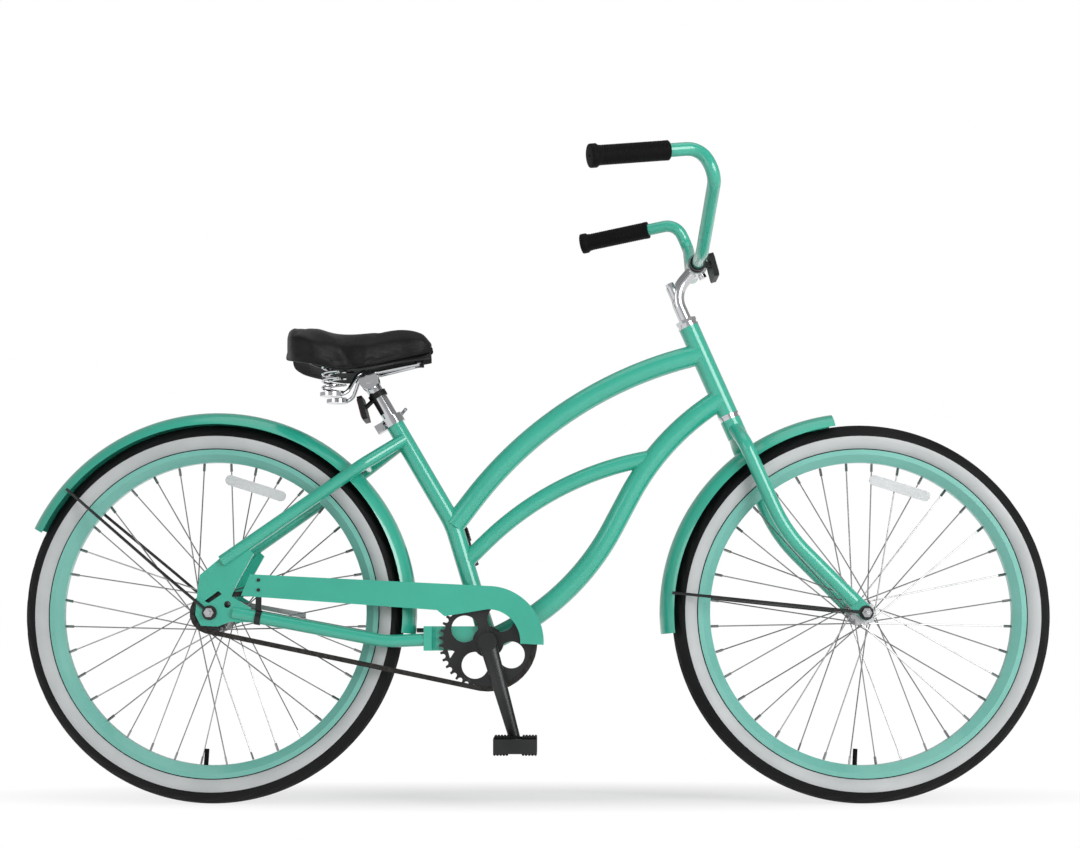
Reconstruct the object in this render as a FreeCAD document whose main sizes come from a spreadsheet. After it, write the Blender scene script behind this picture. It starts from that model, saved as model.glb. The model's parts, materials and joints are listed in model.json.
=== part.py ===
import FreeCAD, Part
import math
import os
import re

import Sketcher
from FreeCAD import Placement, Rotation, Vector

# A single-speed beach cruiser. X runs forward, Y to the rider's left, Z up from the ground.
# Driving dimensions, in millimetres and degrees.
SIZES = {
    # Stance and fits
    "wheelbase": 1128,
    "tyre_radius": 330,
    "press_gap": 0.02,
    "run_gap": 0.05,
    "weld_gap": 0.05,
    "seat_gap": 0.2,
    "overrun": 20,
    # Steering line, measured along the steering axis from the point nearest the front axle
    "head_angle": 66.3,
    "fork_rake": 70,
    "fork_clearance": 73,
    "lower_stack": 9,
    "head_tube_length": 170,
    "head_tube_radius": 18,
    "head_tube_bore": 15.1,
    "cup_depth": 10,
    "cup_lip": 3,
    "cup_rim": 18.5,
    "cup_bore": 13.6,
    "headset_ring_height": 6,
    "race_height": 5,
    "race_radius": 17,
    "locknut_height": 6,
    "locknut_across": 32,
    # Frame tubes
    "bb_drop": 50,
    "main_tube_radius": 19,
    "main_tube_wall": 1.6,
    "brace_tube_radius": 14.3,
    "seat_tube_radius": 15.9,
    "seat_tube_lower": 215,
    "seat_tube_upper": 216,
    "seat_lower_angle": 73,
    "seat_upper_angle": 59.5,
    "seat_tube_bend": 180,
    "top_tube_drop": 52,
    "top_tube_seat_height": 213,
    "top_tube_head_run": 20.6,
    "top_tube_seat_run": 55,
    "top_tube_bend": 700,
    "down_tube_drop": 139,
    "down_tube_head_run": 11.6,
    "down_tube_middle_run": 64.5,
    "down_tube_bb_run": 43.3,
    "down_tube_upper_bend": 450,
    "down_tube_lower_bend": 430,
    "brace_down_share": 0.88,
    "brace_seat_height": 147,
    "brace_front_run": 8.1,
    "brace_seat_run": 88.7,
    "brace_bend": 540,
    "bb_shell_radius": 27,
    "bb_shell_bore": 24,
    "bb_shell_half": 34,
    # Rear triangle
    "stay_radius": 11,
    "stay_wall": 1.5,
    "yoke_length": 110,
    "yoke_shoulder": 96,
    "yoke_waist": 90,
    "yoke_rear_half": 61,
    "yoke_waist_half": 39,
    "yoke_front_half": 33,
    "yoke_height": 42,
    "yoke_wall": 3,
    "yoke_rise": 6,
    "yoke_bolt_rise": 20,
    "chain_stay_start": 40,
    "chain_stay_bend_reach": 302,
    "chain_stay_bend_drop": 49,
    "chain_stay_bend_half": 51,
    "chain_stay_end_half": 49,
    "chain_stay_end_rise": 4,
    "chain_stay_bend": 150,
    "seat_stay_joint": 172,
    "seat_stay_joint_half": 13,
    "seat_stay_bend_half": 50,
    "seat_stay_bend": 60,
    "seat_stay_end_forward": 20,
    "seat_stay_end_rise": 88,
    "bridge_radius": 8,
    "bridge_angle": 44.6,
    "bridge_bolt_length": 6.4,
    "dropout_thickness": 5,
    "dropout_height": 118,
    "dropout_length": 98,
    "dropout_window_radius": 6,
    "rear_hub_width": 110,
    "front_hub_width": 100,
    # Seat collar, post and saddle
    "seat_post_radius": 13.6,
    "seat_post_wall": 2,
    "seat_post_insert": 90,
    "seat_post_show": 86,
    "collar_radius": 20,
    "collar_height": 16,
    "collar_drop": 13,
    "collar_ear_length": 13,
    "collar_ear_half": 9,
    "collar_bolt_radius": 3,
    "collar_bolt_length": 34,
    "collar_nut_radius": 6.5,
    "collar_nut_length": 9,
    "collar_lever_radius": 3,
    "collar_lever_side": 27,
    "collar_lever_reach": 31,
    "collar_lever_tip_half": 9,
    "collar_lever_rise": 9,
    "collar_lever_bend": 15,
    "saddle_length": 254,
    "saddle_width": 222,
    "saddle_height": 84,
    "saddle_rear_back": 128,
    "saddle_base_rise": 4,
    "saddle_pan_thickness": 3,
    "pan_gap": 0.8,
    "rail_radius": 3.5,
    "rail_half": 20,
    "rail_rear_half": 46,
    "rail_bend": 22,
    "rail_foot_run": 7,
    "spring_back": 62,
    "spring_seat_drop": 30,
    "spring_height": 52,
    "spring_cap_radius": 18,
    "spring_cap_thickness": 2,
    "spring_post_radius": 9,
    "spring_post_height": 6,
    "spring_coil_radius": 15,
    "spring_wire_radius": 2.1,
    "spring_turns": 4,
    "spring_disc_radius": 19,
    "spring_disc_thickness": 3,
    "post_head_radius": 12,
    "post_head_half": 15.5,
    "clamp_radius": 17,
    "clamp_thickness": 8.8,
    "clamp_bolt_radius": 4,
    "clamp_nut_across": 13,
    "clamp_nut_height": 6,
    "nose_forward": 88,
    "nose_rise": 33,
    "nose_half": 10,
    "nose_lug_half": 5,
    "nose_lug_length": 16,
    "nose_lug_height": 26,
    "nose_lug_drop": 8,
    "nose_bolt_radius": 4,
    "nose_bolt_half": 15,
    "reflector_thickness": 9,
    "reflector_width": 74,
    "reflector_height": 42,
    "reflector_corner": 7,
    "reflector_lean": 15,
    "reflector_arm_radius": 4,
    "reflector_band": 10,
    "reflector_band_wall": 3,
    "rear_reflector_up": 48,
    "rear_reflector_back": 20,
    "rear_reflector_drop": 26,
    "front_reflector_forward": 23,
    "front_reflector_drop": 4,
    "front_reflector_side": 30,
    # Fork
    "steerer_radius": 12.7,
    "steerer_bore": 11.1,
    "crown_radius": 18,
    "crown_height": 34,
    "crown_plug": 30,
    "blade_radius": 12.5,
    "blade_wall": 1.8,
    "blade_root_drop": 14,
    "blade_shoulder_drop": 50,
    "blade_shoulder_bend": 34,
    "blade_bend_drop": 187,
    "blade_bend": 260,
    "blade_end_gap": 26,
    "fork_end_thickness": 5,
    "fork_end_radius": 13,
    "fork_end_length": 56,
    # Stem and handlebar
    "stem_insert": 70,
    "stem_radius": 11.05,
    "stem_show": 51.8,
    "stem_bend": 46,
    "stem_reach": 64,
    "stem_rise_angle": 50,
    "stem_clamp_radius": 18,
    "stem_clamp_half": 22,
    "stem_boss_radius": 9,
    "stem_boss_rise": 13,
    "expander_radius": 4,
    "expander_head_across": 13,
    "expander_head_height": 6,
    "wedge_height": 28,
    "wedge_gap": 0.3,
    "clamp_screw_angle": -62,
    "clamp_screw_head": 7,
    "clamp_screw_head_height": 7,
    "bar_radius": 11.1,
    "bar_wall": 2,
    "bar_first_half": 110,
    "bar_second_forward": 8,
    "bar_second_half": 280,
    "bar_second_rise": 93,
    "bar_third_back": 16,
    "bar_third_half": 268,
    "bar_third_rise": 139,
    "bar_end_back": 194,
    "bar_end_half": 320,
    "bar_end_rise": 112,
    "bar_first_bend": 58,
    "bar_second_bend": 31,
    "bar_third_bend": 31,
    "grip_length": 132,
    "grip_radius": 16.5,
    "grip_flange_radius": 19.5,
    "grip_flange_length": 8,
    "grip_end_wall": 4,
    # Wheels
    "tyre_half_width": 26.5,
    "tyre_height": 50.6,
    "tyre_shoulder_drop": 23,
    "tyre_side_arc": 24,
    "tyre_bead_half": 15.2,
    "tyre_bead_inside": 11,
    "tyre_casing": 3.5,
    "tyre_tread": 7,
    "rim_edge_rise": 6.6,
    "rim_depth": 15.4,
    "rim_half_width": 18,
    "rim_wall": 2,
    "rim_step_half": 11.5,
    "rim_base_half": 6,
    "rim_well_depth": 9.4,
    "tube_radius": 18,
    "tube_wall": 1.2,
    "tube_waist_share": 0.76,
    "tube_centre_drop": 27.5,
    "valve_radius": 4,
    "valve_show": 28,
    "valve_angle": -93,
    "hub_barrel_front": 13,
    "hub_flange_front": 22,
    "hub_flange_rear": 34,
    "hub_barrel_rear": 27,
    "hub_flange_half": 28,
    "hub_flange_thickness": 4,
    "hub_cup_half_front": 43,
    "hub_cup_radius_front": 15,
    "hub_bore_front": 11,
    "hub_cup_left_rear": 44,
    "hub_cup_right_rear": 36,
    "hub_cup_radius_rear": 24,
    "hub_bore_rear": 20,
    "hub_ring_length": 7,
    "cone_radius_front": 7.5,
    "cone_radius_rear": 12,
    "spoke_holes": 36,
    "spoke_crosses": 3,
    "spoke_radius": 1.15,
    "spoke_hole_inset": 2.2,
    "spoke_lift": 4.9,
    "nipple_radius": 2.3,
    "nipple_length": 14,
    "nipple_gap": 0.6,
    "rim_stagger": 2.5,
    "front_axle_radius": 3.97,
    "rear_axle_radius": 4.76,
    "axle_free_length": 10,
    "axle_end_step": 0.5,
    "axle_nut_across": 15,
    "axle_nut_height": 8,
    "spoke_reflector_length": 110,
    "spoke_reflector_height": 18,
    "spoke_reflector_thickness": 5,
    "spoke_reflector_corner": 8.6,
    "spoke_reflector_inset": 35,
    "spoke_reflector_angle": 72.5,
    "spoke_reflector_side": 9.4,
    # Drive
    "chain_pitch": 12.7,
    "tyre_to_crank": 150,
    "chainring_teeth": 40,
    "cog_teeth": 16,
    "roller_radius": 3.9,
    "roller_gap": 0.12,
    "tooth_height": 3.4,
    "tooth_tip_half": 1.2,
    "chain_line": 45,
    "sprocket_thickness": 2.8,
    "roller_half": 1.9,
    "plate_thickness": 1.1,
    "plate_height": 8.4,
    "plate_gap": 0.15,
    "chainring_hole_radius": 23,
    "chainring_hole_circle": 46,
    "chainring_window_half": 9,
    "chainring_window_inner": 60,
    "chainring_window_outer": 70.5,
    "chainring_bore": 11.6,
    "crank_length": 178,
    "crank_angle": 16,
    "crank_spindle_radius": 11,
    "crank_arm_offset": 76,
    "crank_arm_root_half": 15,
    "crank_arm_root_thick": 9,
    "crank_arm_tip_half": 9.5,
    "crank_arm_tip_thick": 7.5,
    "crank_eye_radius": 13,
    "crank_hub_radius": 16,
    "bb_cup_bore": 17,
    "bb_cup_length": 9,
    "bb_cup_lip": 2,
    "bb_cone_radius": 20,
    "bb_cone_length": 5,
    "driver_radius": 13,
    "driver_left_end": 20,
    "driver_right_end": 51,
    "pedal_spindle_radius": 6,
    "pedal_gap": 3,
    "pedal_width": 92,
    "pedal_length": 72,
    "pedal_sleeve_radius": 9,
    "pedal_plate_thickness": 3,
    "pedal_plate_height": 24,
    "pedal_block_length": 25,
    "pedal_block_height": 30,
    # Guards
    "fender_gap": 22,
    "fender_depth": 23,
    "fender_half_width": 35,
    "fender_wall": 1.5,
    "rear_fender_tail": 155,
    "rear_fender_span": 161,
    "front_fender_tail": 186,
    "front_fender_span": 88,
    "fender_stay_radius": 2.6,
    "fender_stay_eye": 10,
    "fender_stay_eye_thickness": 2,
    "fender_stay_straight": 110,
    "fender_stay_bend": 60,
    "rear_stay_angle": 140,
    "front_stay_angle": 174,
    "fender_bolt_radius": 4,
    "bolt_gap": 0.6,
    "guard_offset": 63,
    "guard_depth": 24,
    "guard_wall": 1.5,
    "guard_radius": 96,
    "guard_inner_radius": 56,
    "guard_front_angle": -3,
    "guard_rear_reach": 69,
    "guard_rear_top": 66,
    "guard_rear_low_reach": 54,
    "guard_rear_low_rise": 29,
    "guard_chin_back": 74,
    "guard_chin_drop": 12,
    "guard_waist_back": 87,
    "strap_width": 10,
    "strap_thickness": 2,
    "strap_reach": 84,
    "strap_rise": 60,
    "strap_screw_radius": 3,
    "strap_screw_head": 2,
    "brake_arm_length": 150,
    "brake_arm_eye": 16,
    "brake_arm_root": 36,
    "brake_arm_root_rise": 14,
    "brake_arm_tip_drop": 9,
    "brake_arm_tip_rise": 1,
    "brake_arm_back_rise": 25,
    "brake_arm_thickness": 3,
}
# Radii about a wheel's centre and the fork's length, which follow the tyre
SIZES["tyre_shoulder_radius"] = SIZES["tyre_radius"] - SIZES["tyre_shoulder_drop"]
SIZES["bead_seat_radius"] = SIZES["tyre_radius"] - SIZES["tyre_height"]
SIZES["rim_edge_radius"] = SIZES["bead_seat_radius"] + SIZES["rim_edge_rise"]
SIZES["rim_inner_radius"] = SIZES["bead_seat_radius"] - SIZES["rim_depth"]
SIZES["rim_well_radius"] = SIZES["bead_seat_radius"] - SIZES["rim_well_depth"]
SIZES["tube_centre_radius"] = SIZES["tyre_radius"] - SIZES["tube_centre_drop"]
SIZES["spoke_reflector_radius"] = SIZES["rim_inner_radius"] - SIZES["spoke_reflector_inset"]
SIZES["fender_crown_radius"] = SIZES["tyre_radius"] + SIZES["fender_gap"]
SIZES["fender_edge_radius"] = SIZES["fender_crown_radius"] - SIZES["fender_depth"]
SIZES["fork_length"] = SIZES["tyre_radius"] + SIZES["fork_clearance"]
# The stack of head parts under the stem, which bends just above it
HEAD_STACK = ("lower_stack", "head_tube_length", "cup_lip", "seat_gap", "race_height", "locknut_height")
SIZES["steerer_height"] = SIZES["fork_length"] + sum(SIZES[name] for name in HEAD_STACK)
SIZES["stem_bend_height"] = SIZES["steerer_height"] + SIZES["stem_show"]
NUT_SIDES = 6
WIRE_SIDES = 6
TUBE_SIDES = 8
FIT_STEPS = 60

# How the down tube's turning is shared by its two bends, the second the other way.
DOWN_TUBE_TURN_SHARES = (0.46, -0.54)
WHOLE_SHARES = (1,)

# Saddle cross-sections from tail to nose: place along it, half width, top, skirt and belly heights.
SADDLE_SHARES = (
    (0.00, 0.22, 0.86, 0.40, 0.58),
    (0.06, 0.78, 0.98, 0.22, 0.56),
    (0.20, 1.00, 0.94, 0.10, 0.50),
    (0.40, 0.84, 0.83, 0.00, 0.46),
    (0.58, 0.50, 0.88, 0.14, 0.50),
    (0.78, 0.32, 1.00, 0.30, 0.58),
    (0.93, 0.26, 0.96, 0.38, 0.60),
    (1.00, 0.14, 0.74, 0.46, 0.58),
)
SADDLE_SIDE_SHARE = 0.62
SADDLE_SKIRT_SHARE = 0.90
SADDLE_PAN_SHARE = 0.80

# Dropout outline about the axle, as shares of its length and height.
DROPOUT_SHARES = (
    (-0.18, 0.55),
    (-0.23, 0.21),
    (-0.25, -0.03),
    (-0.15, -0.19),
    (0.15, -0.20),
    (0.36, -0.13),
    (0.72, -0.14),
    (0.72, 0.07),
    (0.38, 0.24),
    (0.47, 0.42),
    (0.76, 0.86),
    (0.56, 1.02),
    (0.18, 0.80),
)
DROPOUT_SLOT_SHARES = ((-0.09, 0.17), (-0.02, 0.14), (0.21, 0.27), (0.15, 0.32))
DROPOUT_WINDOW_SHARES = (0.31, 0.12)

UP = Vector(0, 0, 1)
LEFT = Vector(0, 1, 0)
FORWARD = Vector(1, 0, 0)
RIGHT_SIDE = -1
LEFT_SIDE = 1
NODES = []

doc = FreeCAD.newDocument("beach_cruiser")
sheet = doc.addObject("Spreadsheet::Sheet", "Sizes")
for row, (alias, number) in enumerate(SIZES.items(), start=1):
    sheet.set(f"A{row}", alias)
    sheet.set(f"B{row}", str(number))
    sheet.setAlias(f"B{row}", alias)
doc.recompute()


def size(alias):
    """The number that the sheet holds under an alias."""
    return float(sheet.get(alias))


def bound(text):
    """A sum in aliases, written as one in cells of the sheet."""
    return re.sub(r"[a-z]\w*", lambda word: f"Sizes.{word[0]}" if word[0] in SIZES else word[0], text)


def number_of(text):
    """What a sum in aliases comes to."""
    return float(sheet.evalExpression(bound(text)))


def add(kind, name, place=None, **sizes):
    """A document object whose sizes follow the sheet."""
    piece = doc.addObject(kind, name)
    for key, text in sizes.items():
        piece.setExpression(key, bound(text))
    if place is not None:
        piece.Placement = place
    return piece


def keep(piece):
    """Marks a finished piece to be written under its label."""
    NODES.append(piece)
    return piece


def along(start, axis):
    """The placement that turns local Z to an axis."""
    return Placement(start, Rotation(UP, axis))


def slope(degrees):
    """A direction in the bicycle's middle plane, counted up from forward."""
    turn = math.radians(degrees)
    return Vector(math.cos(turn), 0, math.sin(turn))


def unit(way):
    """A direction of length one."""
    return Vector(way).normalize()


def across(side, distance):
    """A step to the left for side 1, to the right for side -1."""
    return LEFT * (side * distance)


def rod(name, start, axis, radius, length):
    """A round bar from a point along an axis."""
    return add("Part::Cylinder", name, along(start, axis), Radius=radius, Height=length)


def cut(name, base, *tools):
    """A piece with other pieces taken out of it."""
    for step, tool in enumerate(tools, start=1):
        last = step == len(tools)
        piece = doc.addObject("Part::Cut", name if last else f"{name}_cut_{step}")
        piece.Base = base
        piece.Tool = tool
        base = piece
    return base


def fuse(name, *pieces):
    """Pieces joined into one."""
    joined = doc.addObject("Part::MultiFuse", name)
    joined.Shapes = list(pieces)
    joined.Refine = True
    return joined


def group(name, *pieces):
    """Pieces kept apart but named together."""
    together = doc.addObject("Part::Compound", name)
    together.Links = list(pieces)
    return together


def mirrored(name, source):
    """The same piece on the other side of the middle plane."""
    copy = doc.addObject("Part::Mirroring", name)
    copy.Source = source
    copy.Normal = LEFT
    return copy


def ring(name, start, axis, outer, inner, length):
    """A round ring or sleeve."""
    return cut(
        name,
        rod(f"{name}_outside", start, axis, outer, length),
        rod(f"{name}_inside", start, axis, inner, length),
    )


def hexagon_bar(name, start, axis, flats, length):
    """A six-sided bar, given the distance across its flats."""
    bar = add("Part::Prism", name, along(start, axis), Circumradius=f"{flats} / sqrt(3)", Height=length)
    bar.Polygon = NUT_SIDES
    return bar


def nut(name, start, axis, flats, hole, length):
    """A hexagon nut."""
    return cut(
        name,
        hexagon_bar(f"{name}_hexagon", start, axis, flats, length),
        rod(f"{name}_hole", start, axis, hole, length),
    )


def origin_plane(body, role):
    """One of a body's own origin planes."""
    return next(plane for plane in body.Origin.OriginFeatures if plane.Role == role)


def arc_middle(start, end, radius, side):
    """The middle of the arc under half a circle between two points, bulging to one side of the way."""
    chord = end - start
    half = chord.Length / 2
    rise = radius - math.sqrt(max(radius * radius - half * half, 0))
    return (start + end) * 0.5 + unit(Vector(chord.y, -chord.x, 0)) * (rise * side)


def draw_loop(sketch, corners):
    """A closed outline whose corners and arcs follow the sheet.

    A corner is its two sums, and a radius and a side where an arc starts there.
    """
    spots = [Vector(number_of(corner[0]), number_of(corner[1]), 0) for corner in corners]
    first = sketch.GeometryCount
    count = len(corners)
    ends = []
    for index, corner in enumerate(corners):
        start, end = spots[index], spots[(index + 1) % count]
        clockwise = len(corner) > 2 and corner[3] < 0
        ends.append((2, 1) if clockwise else (1, 2))
        if len(corner) > 2:
            middle = arc_middle(start, end, number_of(corner[2]), corner[3])
            spans = (end, middle, start) if clockwise else (start, middle, end)
            sketch.addGeometry(Part.Arc(*spans), False)
        else:
            sketch.addGeometry(Part.LineSegment(start, end), False)
    for index, corner in enumerate(corners):
        line = first + index
        following = (index + 1) % count
        sketch.addConstraint(
            Sketcher.Constraint("Coincident", line, ends[index][1], first + following, ends[following][0])
        )
        for kind, axis, text in (("DistanceX", -2, corner[0]), ("DistanceY", -1, corner[1])):
            if text == "0":
                sketch.addConstraint(Sketcher.Constraint("PointOnObject", line, ends[index][0], axis))
            else:
                bind_measure(
                    sketch, Sketcher.Constraint(kind, -1, 1, line, ends[index][0], number_of(text)), text
                )
        if len(corner) > 2:
            bind_measure(sketch, Sketcher.Constraint("Radius", line, number_of(corner[2])), corner[2])


def bind_measure(sketch, constraint, text):
    """Adds a measured constraint and ties it to the sheet."""
    index = sketch.addConstraint(constraint)
    sketch.renameConstraint(index, f"measure_{index}")
    sketch.setExpression(f"Constraints.measure_{index}", bound(text))


def draw_circle(sketch, across_text, up_text, radius_text):
    """A circle whose centre and radius follow the sheet."""
    centre = Vector(number_of(across_text), number_of(up_text), 0)
    index = sketch.addGeometry(Part.Circle(centre, UP, number_of(radius_text)), False)
    for kind, axis, text in (("DistanceX", -2, across_text), ("DistanceY", -1, up_text)):
        if text == "0":
            sketch.addConstraint(Sketcher.Constraint("PointOnObject", index, 3, axis))
        else:
            bind_measure(sketch, Sketcher.Constraint(kind, -1, 1, index, 3, number_of(text)), text)
    bind_measure(sketch, Sketcher.Constraint("Radius", index, number_of(radius_text)), radius_text)


def sketch_on(body, role, name):
    """An empty sketch on one of a body's origin planes."""
    sketch = body.newObject("Sketcher::SketchObject", name)
    sketch.AttachmentSupport = [(origin_plane(body, role), "")]
    sketch.MapMode = "FlatFace"
    return sketch


def turned(name, role, loops, place, angle="360"):
    """A piece turned about the upright axis of its sketch: Y on the XY plane, Z on the XZ plane."""
    body = add("PartDesign::Body", name, place)
    sketch = sketch_on(body, role, f"{name}_profile")
    for loop in loops:
        draw_loop(sketch, loop)
    turn = body.newObject("PartDesign::Revolution", f"{name}_turn")
    turn.Profile = sketch
    turn.ReferenceAxis = (sketch, ["V_Axis"])
    turn.setExpression("Angle", bound(angle))
    body.Tip = turn
    return body


def plate(name, role, loops, circles, thickness, place):
    """A flat piece with its holes, padded off one origin plane."""
    body = add("PartDesign::Body", name, place)
    sketch = sketch_on(body, role, f"{name}_outline")
    for loop in loops:
        draw_loop(sketch, loop)
    for circle in circles:
        draw_circle(sketch, *circle)
    pad = body.newObject("PartDesign::Pad", f"{name}_pad")
    pad.Profile = sketch
    pad.setExpression("Length", bound(thickness))
    body.Tip = pad
    return body


def bent_path(name, points, radii):
    """Straight runs joined by tangent arcs, as one wire."""
    edges = []
    start = points[0]
    for before, corner, after, radius in zip(points, points[1:], points[2:], radii):
        back, ahead = unit(before - corner), unit(after - corner)
        half = back.getAngle(ahead) / 2
        reach = radius / math.tan(half)
        middle = corner + unit(back + ahead) * (radius / math.sin(half) - radius)
        edges.append(Part.LineSegment(start, corner + back * reach).toShape())
        edges.append(Part.Arc(corner + back * reach, middle, corner + ahead * reach).toShape())
        start = corner + ahead * reach
    edges.append(Part.LineSegment(start, points[-1]).toShape())
    path = doc.addObject("Part::Feature", name)
    path.Shape = Part.Wire(edges)
    return path


def swept(name, path, radius):
    """A round bar along a path."""
    edges = path.Shape.Edges
    way = edges[0].tangentAt(edges[0].FirstParameter)
    section = add("Part::Circle", f"{name}_section", along(edges[0].Vertexes[0].Point, way), Radius=radius)
    sweep = doc.addObject("Part::Sweep", name)
    sweep.Sections = [section]
    sweep.Spine = (path, [f"Edge{index + 1}" for index in range(len(edges))])
    sweep.Solid = True
    return sweep


def tube(name, points, radii, radius, wall, *tools):
    """A bent tube, coped where other pieces stand."""
    path = bent_path(f"{name}_path", points, radii)
    outside = swept(f"{name}_outside", path, radius)
    inside = swept(f"{name}_inside", path, f"{radius} - ({wall})")
    return cut(name, outside, inside, *tools)


def fitted_route(start, end, runs, bends, turn_shares):
    """Corners of a tube in the middle plane, with straight runs of set lengths and bends of set radii.

    The bends turn as much as the tube needs to reach from start to end, each by its share.
    """

    def corners_at(turning):
        """The corners for an amount of turning, when the tube sets out forward from the origin."""
        spots, heading, before = [Vector()], 0, 0
        for run, bend, share in zip(runs, bends, turn_shares):
            reach = bend * math.tan(math.radians(abs(turning * share)) / 2)
            spots.append(spots[-1] + slope(heading) * (before + run + reach))
            heading += turning * share
            before = reach
        return spots + [spots[-1] + slope(heading) * (before + runs[-1])]

    span = end - start
    least, most = 0, 180
    for _ in range(FIT_STEPS):
        turning = (least + most) / 2
        if corners_at(turning)[-1].Length < span.Length:
            least = turning
        else:
            most = turning
    corners = corners_at(least)
    lean = math.atan2(span.z, span.x) - math.atan2(corners[-1].z, corners[-1].x)
    swing = Rotation(LEFT, -math.degrees(lean))
    return [start + swing.multVec(corner) for corner in corners[:-1]] + [end]


def moved(shape, place):
    """A copy of a shape at a placement."""
    copy = shape.copy()
    copy.Placement = place.multiply(copy.Placement)
    return copy


def prism_between(start, end, radius, sides):
    """A straight many-sided bar between two points."""
    way = end - start
    turns = [2 * math.pi * index / sides for index in range(sides)]
    corners = [Vector(radius * math.cos(turn), radius * math.sin(turn), 0) for turn in turns]
    face = Part.Face(Part.makePolygon(corners + corners[:1]))
    return moved(face.extrude(UP * way.Length), along(start, way))


# Wheel centres and the steering line
rear_axle_at = Vector(-size("wheelbase") / 2, 0, size("tyre_radius"))
front_axle_at = Vector(size("wheelbase") / 2, 0, size("tyre_radius"))
steer_up = slope(180 - size("head_angle"))
steer_foot = front_axle_at - slope(90 - size("head_angle")) * size("fork_rake")
head_bottom = size("fork_length") + size("lower_stack")
head_top = head_bottom + size("head_tube_length")


def on_steerer(height):
    """A point on the steering axis."""
    return steer_foot + steer_up * height


# The chain closes on whole links, which sets the distance from the rear axle to the crank.
pitch = size("chain_pitch")
ring_teeth = int(size("chainring_teeth"))
cog_teeth = int(size("cog_teeth"))
ring_pitch_radius = pitch / (2 * math.sin(math.pi / ring_teeth))
cog_pitch_radius = pitch / (2 * math.sin(math.pi / cog_teeth))


def wrap_of(distance):
    """How far the chain leans in towards the cog, in radians."""
    return math.asin((ring_pitch_radius - cog_pitch_radius) / distance)


def links_at(distance):
    """Links that a taut chain has at a distance between the two sprockets."""
    lean = wrap_of(distance)
    on_ring = ring_teeth * (0.5 + lean / math.pi)
    on_cog = cog_teeth * (0.5 - lean / math.pi)
    return on_ring + on_cog + 2 * distance * math.cos(lean) / pitch


chain_links = 2 * round(links_at(size("tyre_radius") + size("tyre_to_crank")) / 2)
low, high = ring_pitch_radius + cog_pitch_radius, chain_links * pitch
while high - low > pitch * 1e-9:
    middle = (low + high) / 2
    if links_at(middle) < chain_links:
        low = middle
    else:
        high = middle
chain_stay_length = low
crank_at = rear_axle_at + Vector(
    math.sqrt(chain_stay_length**2 - size("bb_drop") ** 2), 0, -size("bb_drop")
)

# Frame tubes, each coped to the tubes that it meets
seat_lower_way = slope(180 - size("seat_lower_angle"))
seat_upper_way = slope(180 - size("seat_upper_angle"))
seat_bend_at = crank_at + seat_lower_way * size("seat_tube_lower")
seat_top = seat_bend_at + seat_upper_way * size("seat_tube_upper")
seat_route = [crank_at, seat_bend_at, seat_top]
seat_bends = [size("seat_tube_bend")]

head_space = rod(
    "head_space", on_steerer(head_bottom), steer_up, "head_tube_radius + weld_gap", "head_tube_length"
)
bb_space = rod(
    "bb_space",
    crank_at - across(LEFT_SIDE, size("bb_shell_half") + size("overrun")),
    LEFT,
    "bb_shell_radius + weld_gap",
    "2 * (bb_shell_half + overrun)",
)
seat_path = bent_path("seat_space_path", seat_route, seat_bends)
seat_space = swept("seat_space", seat_path, "seat_tube_radius + weld_gap")

down_start = on_steerer(head_top - size("down_tube_drop"))
down_runs = [size("down_tube_head_run"), size("down_tube_middle_run"), size("down_tube_bb_run")]
down_bends = [size("down_tube_upper_bend"), size("down_tube_lower_bend")]
down_route = fitted_route(down_start, crank_at, down_runs, down_bends, DOWN_TUBE_TURN_SHARES)
down_space = swept(
    "down_space", bent_path("down_space_path", down_route, down_bends), "main_tube_radius + weld_gap"
)

top_start = on_steerer(head_top - size("top_tube_drop"))
top_end = crank_at + seat_lower_way * size("top_tube_seat_height")
top_runs = [size("top_tube_head_run"), size("top_tube_seat_run")]
top_bends = [size("top_tube_bend")]
top_route = fitted_route(top_start, top_end, top_runs, top_bends, WHOLE_SHARES)
brace_start = down_start + (down_route[1] - down_start) * size("brace_down_share")
brace_end = crank_at + seat_lower_way * size("brace_seat_height")
brace_runs = [size("brace_front_run"), size("brace_seat_run")]
brace_bends = [size("brace_bend")]
brace_route = fitted_route(brace_start, brace_end, brace_runs, brace_bends, WHOLE_SHARES)

keep(
    ring(
        "head_tube",
        on_steerer(head_bottom),
        steer_up,
        "head_tube_radius",
        "head_tube_bore",
        "head_tube_length",
    ),
)
keep(tube("top_tube", top_route, top_bends, "main_tube_radius", "main_tube_wall", head_space, seat_space))
keep(
    tube(
        "down_tube",
        down_route,
        down_bends,
        "main_tube_radius",
        "main_tube_wall",
        head_space,
        bb_space,
        seat_space,
    ),
)
keep(
    tube(
        "brace_tube", brace_route, brace_bends, "brace_tube_radius", "main_tube_wall", down_space, seat_space
    ),
)
keep(
    tube(
        "seat_tube",
        seat_route,
        seat_bends,
        "seat_tube_radius",
        "seat_tube_radius - seat_post_radius - run_gap",
        bb_space,
    )
)
bb_left_end = crank_at + across(LEFT_SIDE, size("bb_shell_half"))
keep(
    ring("bottom_bracket_shell", bb_left_end, -LEFT, "bb_shell_radius", "bb_shell_bore", "2 * bb_shell_half"),
)

# Yoke behind the bottom bracket, seen from above: a pressed channel, open underneath
yoke_half_plan = [
    ("-yoke_length", "yoke_rear_half"),
    ("-yoke_shoulder", "yoke_rear_half"),
    ("-yoke_waist", "yoke_waist_half"),
    ("0", "yoke_front_half"),
]
yoke_hollow_half_plan = [
    ("yoke_wall - yoke_length", "yoke_rear_half - yoke_wall"),
    ("-yoke_shoulder - yoke_wall", "yoke_rear_half - yoke_wall"),
    ("-yoke_waist - yoke_wall", "yoke_waist_half - yoke_wall"),
    ("0", "yoke_front_half - yoke_wall"),
]


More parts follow.
